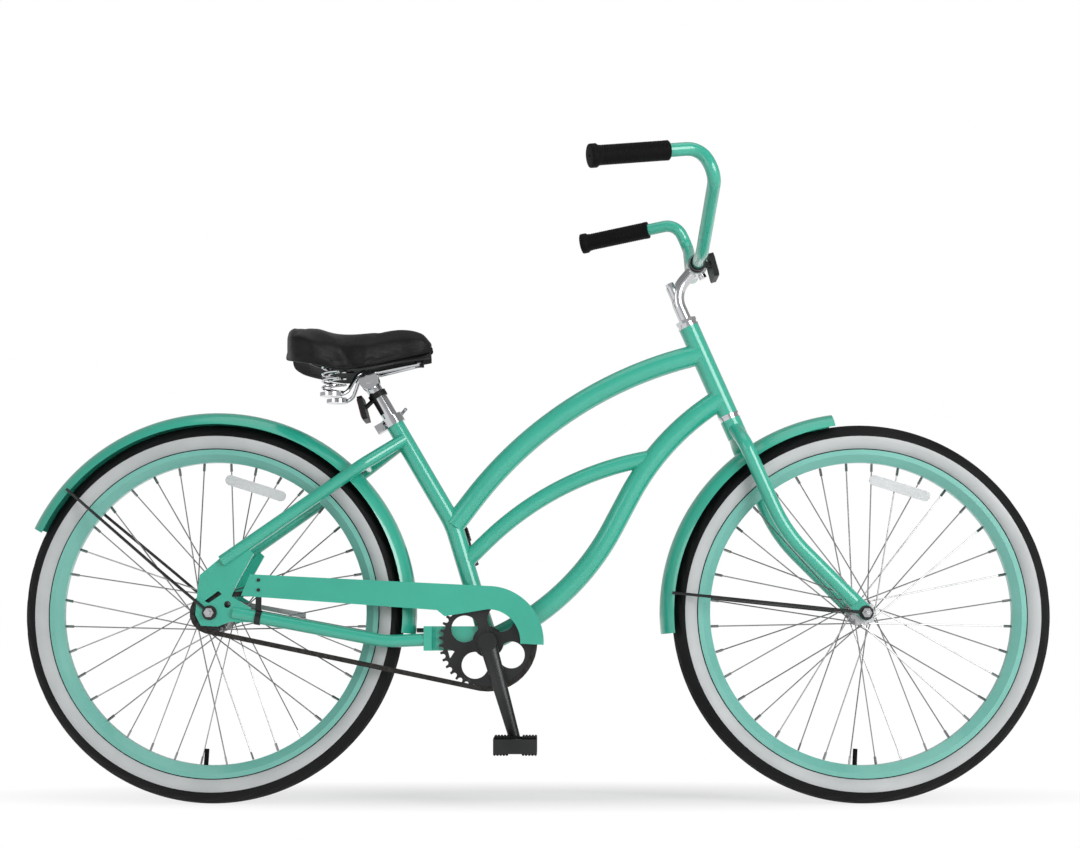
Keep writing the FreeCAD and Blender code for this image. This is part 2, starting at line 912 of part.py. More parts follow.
def both_halves(half_plan):
    """A closed outline from the half on one side of the middle line."""
    return half_plan + [(back, f"-({half})") for back, half in reversed(half_plan)]


yoke_at = crank_at + UP * (size("yoke_rise") - size("yoke_height") / 2)
yoke_place = Placement(yoke_at, Rotation())
hollow_place = Placement(yoke_at - UP * size("yoke_wall"), Rotation())
yoke_block = plate("yoke_block", "XY_Plane", [both_halves(yoke_half_plan)], [], "yoke_height", yoke_place)
yoke_hollow = plate(
    "yoke_hollow", "XY_Plane", [both_halves(yoke_hollow_half_plan)], [], "yoke_height", hollow_place
)
keep(cut("chain_stay_yoke", yoke_block, yoke_hollow, bb_space, seat_space))

# Dropouts and stays
rear_face = size("rear_hub_width") / 2
stay_half = rear_face + size("dropout_thickness") / 2


def dropout_corners(shares):
    """Corners about the axle, from shares of the plate's length and height."""
    return [(f"{length} * dropout_length", f"{height} * dropout_height") for length, height in shares]


window_along, window_up = dropout_corners([DROPOUT_WINDOW_SHARES])[0]
dropout_right = plate(
    "dropout_right",
    "XZ_Plane",
    [dropout_corners(DROPOUT_SHARES), dropout_corners(DROPOUT_SLOT_SHARES)],
    [("0", "0", "rear_axle_radius + run_gap"), (window_along, window_up, "dropout_window_radius")],
    "dropout_thickness",
    Placement(rear_axle_at + across(RIGHT_SIDE, rear_face), Rotation()),
)
keep(group("dropouts", dropout_right, mirrored("dropout_left", dropout_right)))

yoke_flange = "(yoke_length + yoke_shoulder) / 2"
chain_stay_route = [
    rear_axle_at + Vector(size("chain_stay_start"), RIGHT_SIDE * stay_half, 0),
    rear_axle_at
    + Vector(
        size("chain_stay_bend_reach"),
        RIGHT_SIDE * size("chain_stay_bend_half"),
        -size("chain_stay_bend_drop"),
    ),
    crank_at + Vector(
        -number_of(yoke_flange), RIGHT_SIDE * size("chain_stay_end_half"), size("chain_stay_end_rise")
    ),
]
chain_stay_right = tube(
    "chain_stay_right",
    chain_stay_route,
    [size("chain_stay_bend")],
    "stay_radius",
    "stay_wall",
    yoke_block,
    dropout_right,
)
keep(group("chain_stays", chain_stay_right, mirrored("chain_stay_left", chain_stay_right)))

seat_stay_joint_at = seat_bend_at + seat_upper_way * size("seat_stay_joint")
bridge_way = slope(size("bridge_angle"))
bridge_reach = number_of("fender_crown_radius + bolt_gap + bridge_bolt_length + weld_gap + bridge_radius")
bridge_middle = rear_axle_at + bridge_way * bridge_reach
bridge_at = bridge_middle + across(RIGHT_SIDE, size("seat_stay_bend_half"))
seat_stay_route = [
    seat_stay_joint_at + across(RIGHT_SIDE, size("seat_stay_joint_half")),
    bridge_at,
    rear_axle_at + Vector(size("seat_stay_end_forward"), RIGHT_SIDE * stay_half, size("seat_stay_end_rise")),
]
seat_stay_bends = [size("seat_stay_bend")]
seat_stay_right = tube(
    "seat_stay_right", seat_stay_route, seat_stay_bends, "stay_radius", "stay_wall", seat_space, dropout_right
)
stay_space_path = bent_path("stay_space_path", seat_stay_route, seat_stay_bends)
stay_space = swept("stay_space", stay_space_path, "stay_radius + weld_gap")
bridge_bar = rod("bridge_bar", bridge_at, LEFT, "bridge_radius", "2 * seat_stay_bend_half")
bridge = cut("seat_stay_bridge", bridge_bar, stay_space, mirrored("stay_space_left", stay_space))
keep(group("seat_stays", seat_stay_right, mirrored("seat_stay_left", seat_stay_right), bridge))

# Headset: cups pressed into the head tube, races and bearing rings on the steerer
cup_profile = [
    ("cup_bore", "cup_lip"),
    ("cup_rim", "cup_lip"),
    ("cup_rim", "0"),
    ("head_tube_bore - press_gap", "0"),
    ("head_tube_bore - press_gap", "-cup_depth"),
    ("cup_bore", "-cup_depth"),
]
upper_cup = turned("upper_cup", "XZ_Plane", [cup_profile], along(on_steerer(head_top), steer_up))
lower_cup = turned("lower_cup", "XZ_Plane", [cup_profile], along(on_steerer(head_bottom), -steer_up))
keep(group("headset_cups", upper_cup, lower_cup))
steerer_bore_text = "steerer_radius + press_gap"
race_stack = head_top + size("cup_lip") + size("seat_gap")
crown_race = ring(
    "crown_race",
    on_steerer(size("fork_length")),
    steer_up,
    "race_radius",
    steerer_bore_text,
    "lower_stack - cup_lip - seat_gap",
)
top_race = ring(
    "top_race", on_steerer(race_stack), steer_up, "race_radius", steerer_bore_text, "race_height"
)
locknut = nut(
    "locknut",
    on_steerer(race_stack + size("race_height")),
    steer_up,
    "locknut_across",
    steerer_bore_text,
    "locknut_height",
)
ring_outer_text = "cup_bore - run_gap"
upper_balls = ring(
    "upper_balls", on_steerer(head_top), -steer_up, ring_outer_text, steerer_bore_text, "headset_ring_height"
)
lower_balls = ring(
    "lower_balls",
    on_steerer(head_bottom),
    steer_up,
    ring_outer_text,
    steerer_bore_text,
    "headset_ring_height",
)
keep(group("headset_bearings", crown_race, top_race, locknut, upper_balls, lower_balls))

# Fork: steerer with its crown, and two raked blades with flat ends
steerer_top = size("steerer_height")
crown_bottom = size("fork_length") - size("crown_height")
crown_block = rod("crown_block", on_steerer(crown_bottom), steer_up, "crown_radius", "crown_height")
steerer_bar = add(
    "Part::Cylinder", "steerer_bar", along(on_steerer(size("fork_length")), steer_up), Radius="steerer_radius"
)
steerer_bar.setExpression("Height", bound("steerer_height - fork_length"))
steerer_hole = add(
    "Part::Cylinder",
    "steerer_hole",
    along(on_steerer(crown_bottom + size("crown_plug")), steer_up),
    Radius="steerer_bore",
    Height="crown_height + head_tube_length + overrun * 2",
)
keep(cut("fork_steerer", fuse("steerer_body", crown_block, steerer_bar), steerer_hole))

front_face = size("front_hub_width") / 2
blade_half = front_face + size("fork_end_thickness") / 2
blade_corner = on_steerer(size("fork_length") - size("blade_bend_drop") - size("crown_height"))
blade_way = unit(front_axle_at - blade_corner)
blade_offset = across(RIGHT_SIDE, blade_half)
blade_route = [
    on_steerer(size("fork_length") - size("blade_root_drop")),
    on_steerer(size("fork_length") - size("blade_shoulder_drop")) + blade_offset,
    blade_corner + blade_offset,
    front_axle_at - blade_way * size("blade_end_gap") + blade_offset,
]
crown_space = rod(
    "crown_space", on_steerer(crown_bottom), steer_up, "crown_radius + weld_gap", "crown_height + lower_stack"
)
fork_end = plate(
    "fork_end",
    "XY_Plane",
    [
        [
            ("-fork_end_radius", "0", "fork_end_radius", 1),
            ("0", "-fork_end_radius", "fork_end_radius", 1),
            ("fork_end_radius", "0"),
            ("fork_end_radius", "fork_end_length"),
            ("-fork_end_radius", "fork_end_length"),
        ]
    ],
    [("0", "0", "front_axle_radius + run_gap")],
    "fork_end_thickness",
    Placement(
        front_axle_at + across(RIGHT_SIDE, front_face + size("fork_end_thickness")),
        Rotation(Vector(blade_way.z, 0, -blade_way.x), -blade_way, LEFT, "ZXY"),
    ),
)
blade_tube = tube(
    "blade_tube_right",
    blade_route,
    [size("blade_shoulder_bend"), size("blade_bend")],
    "blade_radius",
    "blade_wall",
    crown_space,
    fork_end,
)
blade_pieces = [blade_tube, fork_end]
keep(
    group("fork_blades", *blade_pieces, *[mirrored(f"{piece.Name}_left", piece) for piece in blade_pieces])
)

# Quill stem with its expander bolt, wedge and bar clamp
stem_bottom = steerer_top - size("stem_insert")
stem_bend_at = on_steerer(size("stem_bend_height"))
bar_at = stem_bend_at + slope(size("stem_rise_angle")) * size("stem_reach")
stem_path = bent_path("stem_path", [on_steerer(stem_bottom), stem_bend_at, bar_at], [size("stem_bend")])
stem_bar = swept("stem_bar", stem_path, "stem_radius")
stem_boss = rod(
    "stem_boss",
    stem_bend_at - steer_up * size("stem_bend"),
    steer_up,
    "stem_boss_radius",
    "stem_bend + stem_boss_rise",
)
clamp_left_end = bar_at + across(LEFT_SIDE, size("stem_clamp_half"))
stem_clamp = rod("stem_clamp", clamp_left_end, -LEFT, "stem_clamp_radius", "2 * stem_clamp_half")
bar_hole = rod("bar_hole", clamp_left_end, -LEFT, "bar_radius + run_gap", "2 * stem_clamp_half")
expander_hole = rod(
    "expander_hole",
    on_steerer(stem_bottom),
    steer_up,
    "expander_radius + seat_gap",
    "stem_bend_height + stem_boss_rise",
)
keep(cut("stem", fuse("stem_body", stem_bar, stem_boss, stem_clamp), bar_hole, expander_hole))
wedge_start = stem_bottom - size("wedge_gap") - size("wedge_height")
wedge = rod("wedge", on_steerer(wedge_start), steer_up, "steerer_bore - run_gap", "wedge_height")
head_seat = size("stem_bend_height") + size("stem_boss_rise") + size("seat_gap")
expander_rod = add(
    "Part::Cylinder", "expander_rod", along(on_steerer(wedge_start), steer_up), Radius="expander_radius"
)
expander_rod.Height = head_seat - wedge_start
expander_head = hexagon_bar(
    "expander_head", on_steerer(head_seat), steer_up, "expander_head_across", "expander_head_height"
)
clamp_screw_way = slope(size("clamp_screw_angle"))
clamp_screw = rod(
    "clamp_screw",
    bar_at + clamp_screw_way * (size("stem_clamp_radius") + size("weld_gap")),
    clamp_screw_way,
    "clamp_screw_head",
    "clamp_screw_head_height",
)
keep(group("stem_bolts", fuse("expander_bolt", wedge, expander_rod, expander_head), clamp_screw))

# Handlebar: rises from the clamp, then sweeps back to the grips
bar_half_route = [
    bar_at + Vector(0, size("bar_first_half"), 0),
    bar_at + Vector(size("bar_second_forward"), size("bar_second_half"), size("bar_second_rise")),
    bar_at + Vector(-size("bar_third_back"), size("bar_third_half"), size("bar_third_rise")),
    bar_at + Vector(-size("bar_end_back"), size("bar_end_half"), size("bar_end_rise")),
]
bar_half_bends = [size("bar_first_bend"), size("bar_second_bend"), size("bar_third_bend")]
bar_route = [Vector(spot.x, -spot.y, spot.z) for spot in reversed(bar_half_route)] + bar_half_route
keep(tube("handlebar", bar_route, bar_half_bends[::-1] + bar_half_bends, "bar_radius", "bar_wall"))
grip_out = unit(bar_half_route[-1] - bar_half_route[-2])
grip_profile = [
    ("bar_radius + press_gap", "-grip_length"),
    ("grip_radius", "-grip_length"),
    ("grip_radius", "-grip_flange_length"),
    ("grip_flange_radius", "-grip_flange_length"),
    ("grip_flange_radius", "grip_end_wall"),
    ("0", "grip_end_wall"),
    ("0", "press_gap"),
    ("bar_radius + press_gap", "press_gap"),
]
grip_left = turned("grip_left", "XZ_Plane", [grip_profile], along(bar_half_route[-1], grip_out))
keep(group("grips", grip_left, mirrored("grip_right", grip_left)))


def rounded(half_wide, half_tall, corner):
    """A rectangle with round corners about the origin."""
    wide, tall = f"({half_wide} - {corner})", f"({half_tall} - {corner})"
    return [
        (wide, f"-{half_tall}", corner, 1),
        (half_wide, f"-{tall}"),
        (half_wide, tall, corner, 1),
        (wide, half_tall),
        (f"-{wide}", half_tall, corner, 1),
        (f"-{half_wide}", tall),
        (f"-{half_wide}", f"-{tall}", corner, 1),
        (f"-{wide}", f"-{half_tall}"),
    ]


def reflector(name, band_at, band_axis, band_bore, slab_at):
    """A reflector that leans on an arm, which a band holds on a tube."""
    band = ring(
        f"{name}_band",
        band_at - band_axis * (size("reflector_band") / 2),
        band_axis,
        f"{band_bore} + reflector_band_wall",
        f"{band_bore} + press_gap",
        "reflector_band",
    )
    turn = Rotation(LEFT, -size("reflector_lean"))
    arm_end = slab_at + turn.multVec(FORWARD) * (size("reflector_thickness") / 2)
    arm_end.y = band_at.y
    arm = add(
        "Part::Cylinder", f"{name}_arm", along(band_at, arm_end - band_at), Radius="reflector_arm_radius"
    )
    arm.Height = (arm_end - band_at).Length
    space_start = band_at - band_axis * size("reflector_band")
    space = rod(f"{name}_space", space_start, band_axis, f"{band_bore} + press_gap", "2 * reflector_band")
    outline = rounded("reflector_width / 2", "reflector_height / 2", "reflector_corner")
    slab = plate(f"{name}_slab", "YZ_Plane", [outline], [], "reflector_thickness", Placement(slab_at, turn))
    return keep(cut(name, fuse(f"{name}_body", band, arm, slab), space))


front_slab_at = bar_at + Vector(size("front_reflector_forward"), 0, -size("front_reflector_drop"))
front_band_at = bar_at + across(RIGHT_SIDE, size("front_reflector_side"))
reflector("front_reflector", front_band_at, LEFT, "bar_radius", front_slab_at)

# Wheels
tyre_bead = [
    ("bead_seat_radius + seat_gap", "tyre_bead_inside"),
    ("bead_seat_radius + seat_gap", "tyre_bead_half"),
]
tread_arc = (
    "(tyre_half_width ^ 2 + (tyre_radius - tyre_shoulder_radius) ^ 2) / (2 * (tyre_radius - tyre_shoulder_radius))"
)
tyre_inside = [
    ("tyre_radius - tyre_tread", "0"),
    ("tyre_shoulder_radius + tyre_casing * 3", "tyre_half_width - tyre_casing * 2"),
    ("tyre_shoulder_radius", "tyre_half_width - tyre_casing"),
    ("rim_edge_radius + tyre_casing", "tyre_bead_half - tyre_casing"),
]
tyre_profile = (
    [(radius, f"-{width}") for radius, width in tyre_bead]
    + [("rim_edge_radius + seat_gap", "-tyre_bead_half", "tyre_side_arc", 1)]
    + [("tyre_shoulder_radius", "-tyre_half_width", tread_arc, 1)]
    + [("tyre_shoulder_radius", "tyre_half_width", "tyre_side_arc", 1)]
    + [("rim_edge_radius + seat_gap", "tyre_bead_half")]
    + tyre_bead[::-1]
    + tyre_inside[:0:-1]
    + tyre_inside[:1]
    + [(radius, f"-({width})") for radius, width in tyre_inside[1:]]
)
rim_half = [
    ("rim_edge_radius", "rim_half_width - rim_wall"),
    ("rim_edge_radius", "rim_half_width"),
    ("bead_seat_radius - rim_wall", "rim_half_width"),
    ("rim_well_radius", "rim_step_half"),
    ("rim_inner_radius", "rim_base_half"),
]
rim_inside_half = [
    ("rim_inner_radius + rim_wall", "rim_base_half - rim_wall / 2"),
    ("rim_well_radius + rim_wall", "rim_step_half - rim_wall"),
    ("bead_seat_radius", "rim_half_width - 2 * rim_wall"),
    ("bead_seat_radius", "rim_half_width - rim_wall"),
]
rim_profile = (
    rim_half
    + [(radius, f"-({width})") for radius, width in reversed(rim_half)]
    + [(radius, f"-({width})") for radius, width in reversed(rim_inside_half)]
    + rim_inside_half
)


def hub_profile(left, right, cup, barrel, flange, bore):
    """Half section of a hub shell, from its left end to its right end."""
    flange_out = "(hub_flange_half + hub_flange_thickness / 2)"
    flange_in = "(hub_flange_half - hub_flange_thickness / 2)"
    return [
        (bore, left),
        (cup, left),
        (cup, flange_out),
        (flange, flange_out),
        (flange, flange_in),
        (barrel, flange_in),
        (barrel, f"-{flange_in}"),
        (flange, f"-{flange_in}"),
        (flange, f"-{flange_out}"),
        (cup, f"-{flange_out}"),
        (cup, f"-{right}"),
        (bore, f"-{right}"),
    ]


def laced_spokes(flange_radius):
    """Spokes with their nipples about the wheel's centre, each lying on a flange face."""
    holes = int(size("spoke_holes"))
    per_flange = holes // 2
    step = 2 * math.pi / per_flange
    lead = size("spoke_crosses") * step
    root_radius = flange_radius - size("spoke_hole_inset")
    face = size("hub_flange_thickness") / 2 + size("weld_gap")
    rim_radius = size("rim_inner_radius") - size("seat_gap")
    spokes = []
    for side in (RIGHT_SIDE, LEFT_SIDE):
        for index in range(per_flange):
            ahead = 1 if index % 2 else -1
            root_turn = step * (index + side / 4)
            tip_turn = root_turn + ahead * lead
            root_y = side * (size("hub_flange_half") + ahead * size("spoke_lift"))
            root = Vector(root_radius * math.cos(root_turn), root_y, root_radius * math.sin(root_turn))
            tip = Vector(
                rim_radius * math.cos(tip_turn), side * size("rim_stagger"), rim_radius * math.sin(tip_turn)
            )
            way = unit(tip - root)
            spoke = prism_between(root, tip, size("spoke_radius"), WIRE_SIDES)
            head_start = Vector(root.x, side * (size("hub_flange_half") + ahead * face), root.z)
            head = prism_between(head_start, root, size("spoke_radius"), WIRE_SIDES - 2)
            nipple = prism_between(
                tip - way * size("nipple_length"),
                tip - way * size("nipple_gap"),
                size("nipple_radius"),
                WIRE_SIDES - 2,
            )
            spokes.append(spoke.multiFuse([head, nipple]))
    return Part.makeCompound(spokes)


def tube_section(radius):
    """Half-flattened octagon of the inner tube inside the tyre, for a radius."""
    half_flat = f"{radius} * tan(180 / {TUBE_SIDES})"
    half = [
        (f"tube_centre_radius + {radius}", half_flat),
        (f"tube_centre_radius + {half_flat}", radius),
        (f"tube_centre_radius - {half_flat}", f"{radius} * tube_waist_share"),
        (f"tube_centre_radius - {radius}", f"{half_flat} * tube_waist_share"),
    ]
    return half + [(reach, f"-({width})") for reach, width in reversed(half)]


def hub_ring(name, centre, side, outer_end, outer, inner):
    """A bearing ring just inside one end of a hub shell."""
    start = centre + across(side, size(outer_end))
    return ring(name, start, LEFT * -side, f"{outer} - press_gap", f"{inner} + run_gap", "hub_ring_length")


def wheel(name, centre, flange_text, hub, bore_text, ring_ends):
    """The pieces that every wheel has, named after the wheel.

    A ring end is its side, its place and what runs in it.
    """
    place = Placement(centre, Rotation())
    keep(turned(f"{name}_tyre", "XY_Plane", [tyre_profile], place))
    valve_way = slope(size("valve_angle"))
    rim_body = turned(f"{name}_rim_body", "XY_Plane", [rim_profile], place)
    valve_root = "(tube_centre_radius - tube_radius + tube_wall / 2)"
    valve_start = centre + valve_way * number_of(valve_root)
    valve_text = f"{valve_root} - rim_inner_radius + valve_show"
    valve_hole = rod(f"{name}_valve_hole", valve_start, -valve_way, "valve_radius + seat_gap", valve_text)
    keep(cut(f"{name}_rim", rim_body, valve_hole))
    air_tube = turned(
        f"{name}_air_tube",
        "XY_Plane",
        [tube_section("tube_radius"), tube_section("(tube_radius - tube_wall)")],
        place,
    )
    valve = rod(f"{name}_valve", valve_start, -valve_way, "valve_radius", valve_text)
    keep(fuse(f"{name}_inner_tube", air_tube, valve))
    rings = [
        hub_ring(f"{name}_balls_{side + 1}", centre, side, end_text, bore_text, inner_text)
        for side, end_text, inner_text in ring_ends
    ]
    keep(group(f"{name}_hub", turned(f"{name}_hub_shell", "XY_Plane", [hub], place), *rings))
    spokes = doc.addObject("Part::Feature", f"{name}_spokes")
    spokes.Shape = laced_spokes(size(flange_text))
    spokes.Placement = place
    keep(spokes)
    turn = Rotation(LEFT, 90 - size("spoke_reflector_angle"))
    middle = Vector(0, -size("spoke_reflector_side"), size("spoke_reflector_radius"))
    outline = rounded("spoke_reflector_length / 2", "spoke_reflector_height / 2", "spoke_reflector_corner")
    keep(
        plate(
            f"{name}_spoke_reflector",
            "XZ_Plane",
            [outline],
            [],
            "spoke_reflector_thickness",
            Placement(centre + turn.multVec(middle), turn),
        )
    )


wheel(
    "front",
    front_axle_at,
    "hub_flange_front",
    hub_profile(
        "hub_cup_half_front",
        "hub_cup_half_front",
        "hub_cup_radius_front",
        "hub_barrel_front",
        "hub_flange_front",
        "hub_bore_front",
    ),
    "hub_bore_front",
    [(side, "hub_cup_half_front", "cone_radius_front") for side in (RIGHT_SIDE, LEFT_SIDE)],
)
wheel(
    "rear",
    rear_axle_at,
    "hub_flange_rear",
    hub_profile(
        "hub_cup_left_rear",
        "hub_cup_right_rear",
        "hub_cup_radius_rear",
        "hub_barrel_rear",
        "hub_flange_rear",
        "hub_bore_rear",
    ),
    "hub_bore_rear",
    [
        (RIGHT_SIDE, "hub_cup_right_rear", "driver_radius"),
        (LEFT_SIDE, "hub_cup_left_rear", "cone_radius_rear"),
    ],
)


def axle(name, centre, face_text, thickness_text, radius_text, cones):
    """A solid axle through plates, eyes and nuts to two turned-down ends, with its wheel's cones."""
    out_text = f"({face_text} / 2 + {thickness_text} + fender_stay_eye_thickness)"
    stack_text = f"({out_text} + axle_nut_height + axle_free_length)"
    nut_text = f"({out_text} + axle_nut_height)"
    core_start = centre + across(RIGHT_SIDE, number_of(nut_text))
    core = rod(f"{name}_core", core_start, LEFT, radius_text, f"2 * {nut_text}")
    ends_start = centre + across(RIGHT_SIDE, number_of(stack_text))
    ends = rod(f"{name}_ends", ends_start, LEFT, f"{radius_text} - axle_end_step", f"2 * {stack_text}")
    nuts = [
        nut(
            f"{name}_nut_{side + 1}",
            centre + across(side, number_of(out_text)),
            LEFT * side,
            "axle_nut_across",
            f"{radius_text} + press_gap",
            "axle_nut_height",
        )
        for side in (RIGHT_SIDE, LEFT_SIDE)
    ]
    keep(fuse(name, core, ends))
    keep(group(f"{name}_nuts", *nuts, *cones))


front_cones = [
    ring(
        f"front_cone_{side + 1}",
        front_axle_at + across(side, front_face),
        LEFT * -side,
        "cone_radius_front",
        "front_axle_radius + press_gap",
        "front_hub_width / 2 - hub_cup_half_front + hub_ring_length",
    )
    for side in (RIGHT_SIDE, LEFT_SIDE)
]
left_cone = ring(
    "left_cone",
    rear_axle_at + across(LEFT_SIDE, rear_face - size("brake_arm_thickness")),
    -LEFT,
    "cone_radius_rear",
    "rear_axle_radius + press_gap",
    "rear_hub_width / 2 - brake_arm_thickness",
)
axle("front_axle", front_axle_at, "front_hub_width", "fork_end_thickness", "front_axle_radius", front_cones)
axle("rear_axle", rear_axle_at, "rear_hub_width", "dropout_thickness", "rear_axle_radius", [left_cone])

# Coaster brake arm, held on the left chain stay
arm_plate = plate(
    "arm_plate",
    "XZ_Plane",
    [
        [
            ("-brake_arm_eye", "0"),
            ("0", "-brake_arm_eye"),
            ("brake_arm_eye", "0"),
            ("brake_arm_root", "brake_arm_root_rise"),
            ("brake_arm_length", "-brake_arm_tip_drop"),
            ("brake_arm_length", "brake_arm_tip_rise"),
            ("brake_arm_eye", "brake_arm_back_rise"),
            ("0", "brake_arm_eye"),
        ]
    ],
    [("0", "0", "rear_axle_radius + press_gap")],
    "brake_arm_thickness",
    Placement(rear_axle_at + across(LEFT_SIDE, rear_face), Rotation()),
)
stay_way = unit(chain_stay_route[1] - chain_stay_route[0])
stay_bore = rod("stay_bore", chain_stay_route[0], stay_way, "stay_radius + weld_gap", "brake_arm_length")
left_stay_start = Vector(chain_stay_route[0].x, -chain_stay_route[0].y, chain_stay_route[0].z)
left_stay_way = Vector(stay_way.x, -stay_way.y, stay_way.z)
arm_clip = ring(
    "arm_clip",
    left_stay_start + left_stay_way * (
        size("brake_arm_length") - size("chain_stay_start") - size("strap_width")
    ),
    left_stay_way,
    "stay_radius + strap_thickness",
    "stay_radius + weld_gap",
    "strap_width",
)
keep(cut("brake_arm", fuse("arm_body", arm_plate, arm_clip), mirrored("stay_bore_left", stay_bore)))

# Drive: sprockets with a seat for every roller, and the chain on them
chain_plane = across(RIGHT_SIDE, size("chain_line"))
stay_turn = math.atan2(crank_at.z - rear_axle_at.z, crank_at.x - rear_axle_at.x)
lean = wrap_of(chain_stay_length)
leave_turn = stay_turn + math.pi / 2 + lean
ring_step = 2 * math.pi / ring_teeth
cog_step = 2 * math.pi / cog_teeth
links_on_ring = ring_teeth * (0.5 + lean / math.pi)
links_on_run = chain_stay_length * math.cos(lean) / pitch
links_on_cog = cog_teeth * (0.5 - lean / math.pi)


def on_circle(centre, radius, turn):
    """A point about a sprocket's centre, turned up from forward."""
    return centre + Vector(radius * math.cos(turn), 0, radius * math.sin(turn))


def chain_spot(link):
    """Where a roller sits, counted in links from where the chain meets the top of the chainring."""
    if link <= links_on_ring:
        return on_circle(crank_at, ring_pitch_radius, leave_turn - link * ring_step)
    link -= links_on_ring
    low_turn = leave_turn - math.pi - 2 * lean
    if link <= links_on_run:
        low_start = on_circle(crank_at, ring_pitch_radius, low_turn)
        return low_start + (on_circle(rear_axle_at, cog_pitch_radius, low_turn) - low_start) * (
            link / links_on_run
        )
    link -= links_on_run
    if link <= links_on_cog:
        return on_circle(rear_axle_at, cog_pitch_radius, low_turn - link * cog_step)
    link -= links_on_cog
    top_start = on_circle(rear_axle_at, cog_pitch_radius, leave_turn)
    return top_start + (on_circle(crank_at, ring_pitch_radius, leave_turn) - top_start) * (
        link / links_on_run
    )


ring_phase = math.degrees(leave_turn)
first_on_cog = math.ceil(links_on_ring + links_on_run)
cog_spot = chain_spot(first_on_cog) - rear_axle_at
cog_phase = math.degrees(math.atan2(cog_spot.z, cog_spot.x))


def sprocket(name, teeth_text, bore_text, centre, phase, hole_loops, hole_circles):
    """A toothed disc, made from a blank by cutting one roller seat and repeating it round the disc."""
    pitch_text = f"(chain_pitch / (2 * sin(180 / {teeth_text})))"
    tip_text = f"({pitch_text} + tooth_height)"
    seat_text = "roller_radius + roller_gap"
    half_tip = f"({tip_text} * tan(180 / {teeth_text}) - tooth_tip_half)"
    place = Placement(centre + across(LEFT_SIDE, size("sprocket_thickness") / 2), Rotation(LEFT, -phase))
    body = plate(
        name,
        "XZ_Plane",
        hole_loops,
        [("0", "0", tip_text), ("0", "0", bore_text)] + hole_circles,
        "sprocket_thickness",
        place,
    )
    doc.recompute()
    seat = sketch_on(body, "XZ_Plane", f"{name}_seat")
    draw_loop(
        seat,
        [
            (f"{tip_text} + tooth_height", f"-{half_tip}"),
            (f"{tip_text} + tooth_height", half_tip),
            (pitch_text, seat_text, seat_text, 1),
            (f"{pitch_text} - ({seat_text})", "0", seat_text, 1),
            (pitch_text, f"-({seat_text})"),
        ],
    )
    pocket = body.newObject("PartDesign::Pocket", f"{name}_gap")
    pocket.Profile = seat
    pocket.Type = "ThroughAll"
    pocket.Midplane = True
    doc.recompute()
    pattern = body.newObject("PartDesign::PolarPattern", f"{name}_teeth")
    pattern.Originals = [pocket]
    pattern.Axis = (seat, ["N_Axis"])
    pattern.Angle = 360
    pattern.setExpression("Occurrences", bound(teeth_text))
    body.Tip = pattern
    return body


hole_turn = ring_phase - (270 + size("crank_angle"))
window_loops = []
hole_circles = []
for quarter in range(4):
    hole_way = slope(90 * quarter + 45 - hole_turn)
    window_way = slope(90 * quarter - hole_turn)
    hole_circles.append(
        (
            f"chainring_hole_circle * {hole_way.x:.6f}",
            f"chainring_hole_circle * {hole_way.z:.6f}",
            "chainring_hole_radius",
        )
    )
    window_loops.append(
        [
            (
                f"{reach} * {window_way.x:.6f} - ({half}) * {window_way.z:.6f}",
                f"{reach} * {window_way.z:.6f} + ({half}) * {window_way.x:.6f}",
            )
            for reach, half in (
                ("chainring_window_inner", "0"),
                ("chainring_window_outer", "-chainring_window_half"),
                ("chainring_window_outer", "chainring_window_half"),
            )
        ]
    )
chainring = sprocket(
    "chainring",
    "chainring_teeth",
    "chainring_bore",
    crank_at + chain_plane,
    ring_phase,
    window_loops,
    hole_circles,
)
keep(chainring)
cog = sprocket(
    "cog", "cog_teeth", "driver_radius + press_gap", rear_axle_at + chain_plane, cog_phase, [], []
)
driver_start = rear_axle_at + across(RIGHT_SIDE, size("driver_right_end"))
driver = ring(
    "driver",
    driver_start,
    LEFT,
    "driver_radius",
    "rear_axle_radius + run_gap",
    "driver_right_end - driver_left_end",
)
keep(group("rear_cog", cog, driver))


def link_plate(inner_face):
    """One side plate between two rollers, at its distance from the chain's middle."""
    half_length = pitch / 2
    tall = size("plate_height") / 2
    corners = [
        Vector(half_length, inner_face, tall),
        Vector(half_length + tall, inner_face, 0),
        Vector(half_length, inner_face, -tall),
        Vector(-half_length, inner_face, -tall),
        Vector(-half_length - tall, inner_face, 0),
        Vector(-half_length, inner_face, tall),
    ]
    face = Part.Face(Part.makePolygon(corners + corners[:1]))
    return face.extrude(LEFT * math.copysign(size("plate_thickness"), inner_face))


def chain_shape():
    """Rollers between inner plates, with outer plates over every second link."""
    inner_face = size("roller_half")
    outer_face = inner_face + size("plate_thickness") + size("plate_gap")
    roller_ends = [Vector(side * pitch / 2, -inner_face, 0) for side in (1, -1)]
    rollers = [
        prism_between(
            end, end + LEFT * (2 * inner_face), size("roller_radius"), WIRE_SIDES
        ) for end in roller_ends
    ]
    inner_link = rollers[0].multiFuse([rollers[1], link_plate(inner_face), link_plate(-inner_face)])
    outer_plates = [link_plate(outer_face), link_plate(-outer_face)]
    pieces = []
    for link in range(chain_links):
        start, end = chain_spot(link), chain_spot((link + 1) % chain_links)
        place = Placement((start + end) * 0.5 + chain_plane, Rotation(FORWARD, end - start))
        for solid in outer_plates if link % 2 else inner_link.Solids:
            pieces.append(moved(solid, place))
    return Part.makeCompound(pieces)


chain = doc.addObject("Part::Feature", "chain")
chain.Shape = chain_shape()
keep(chain)

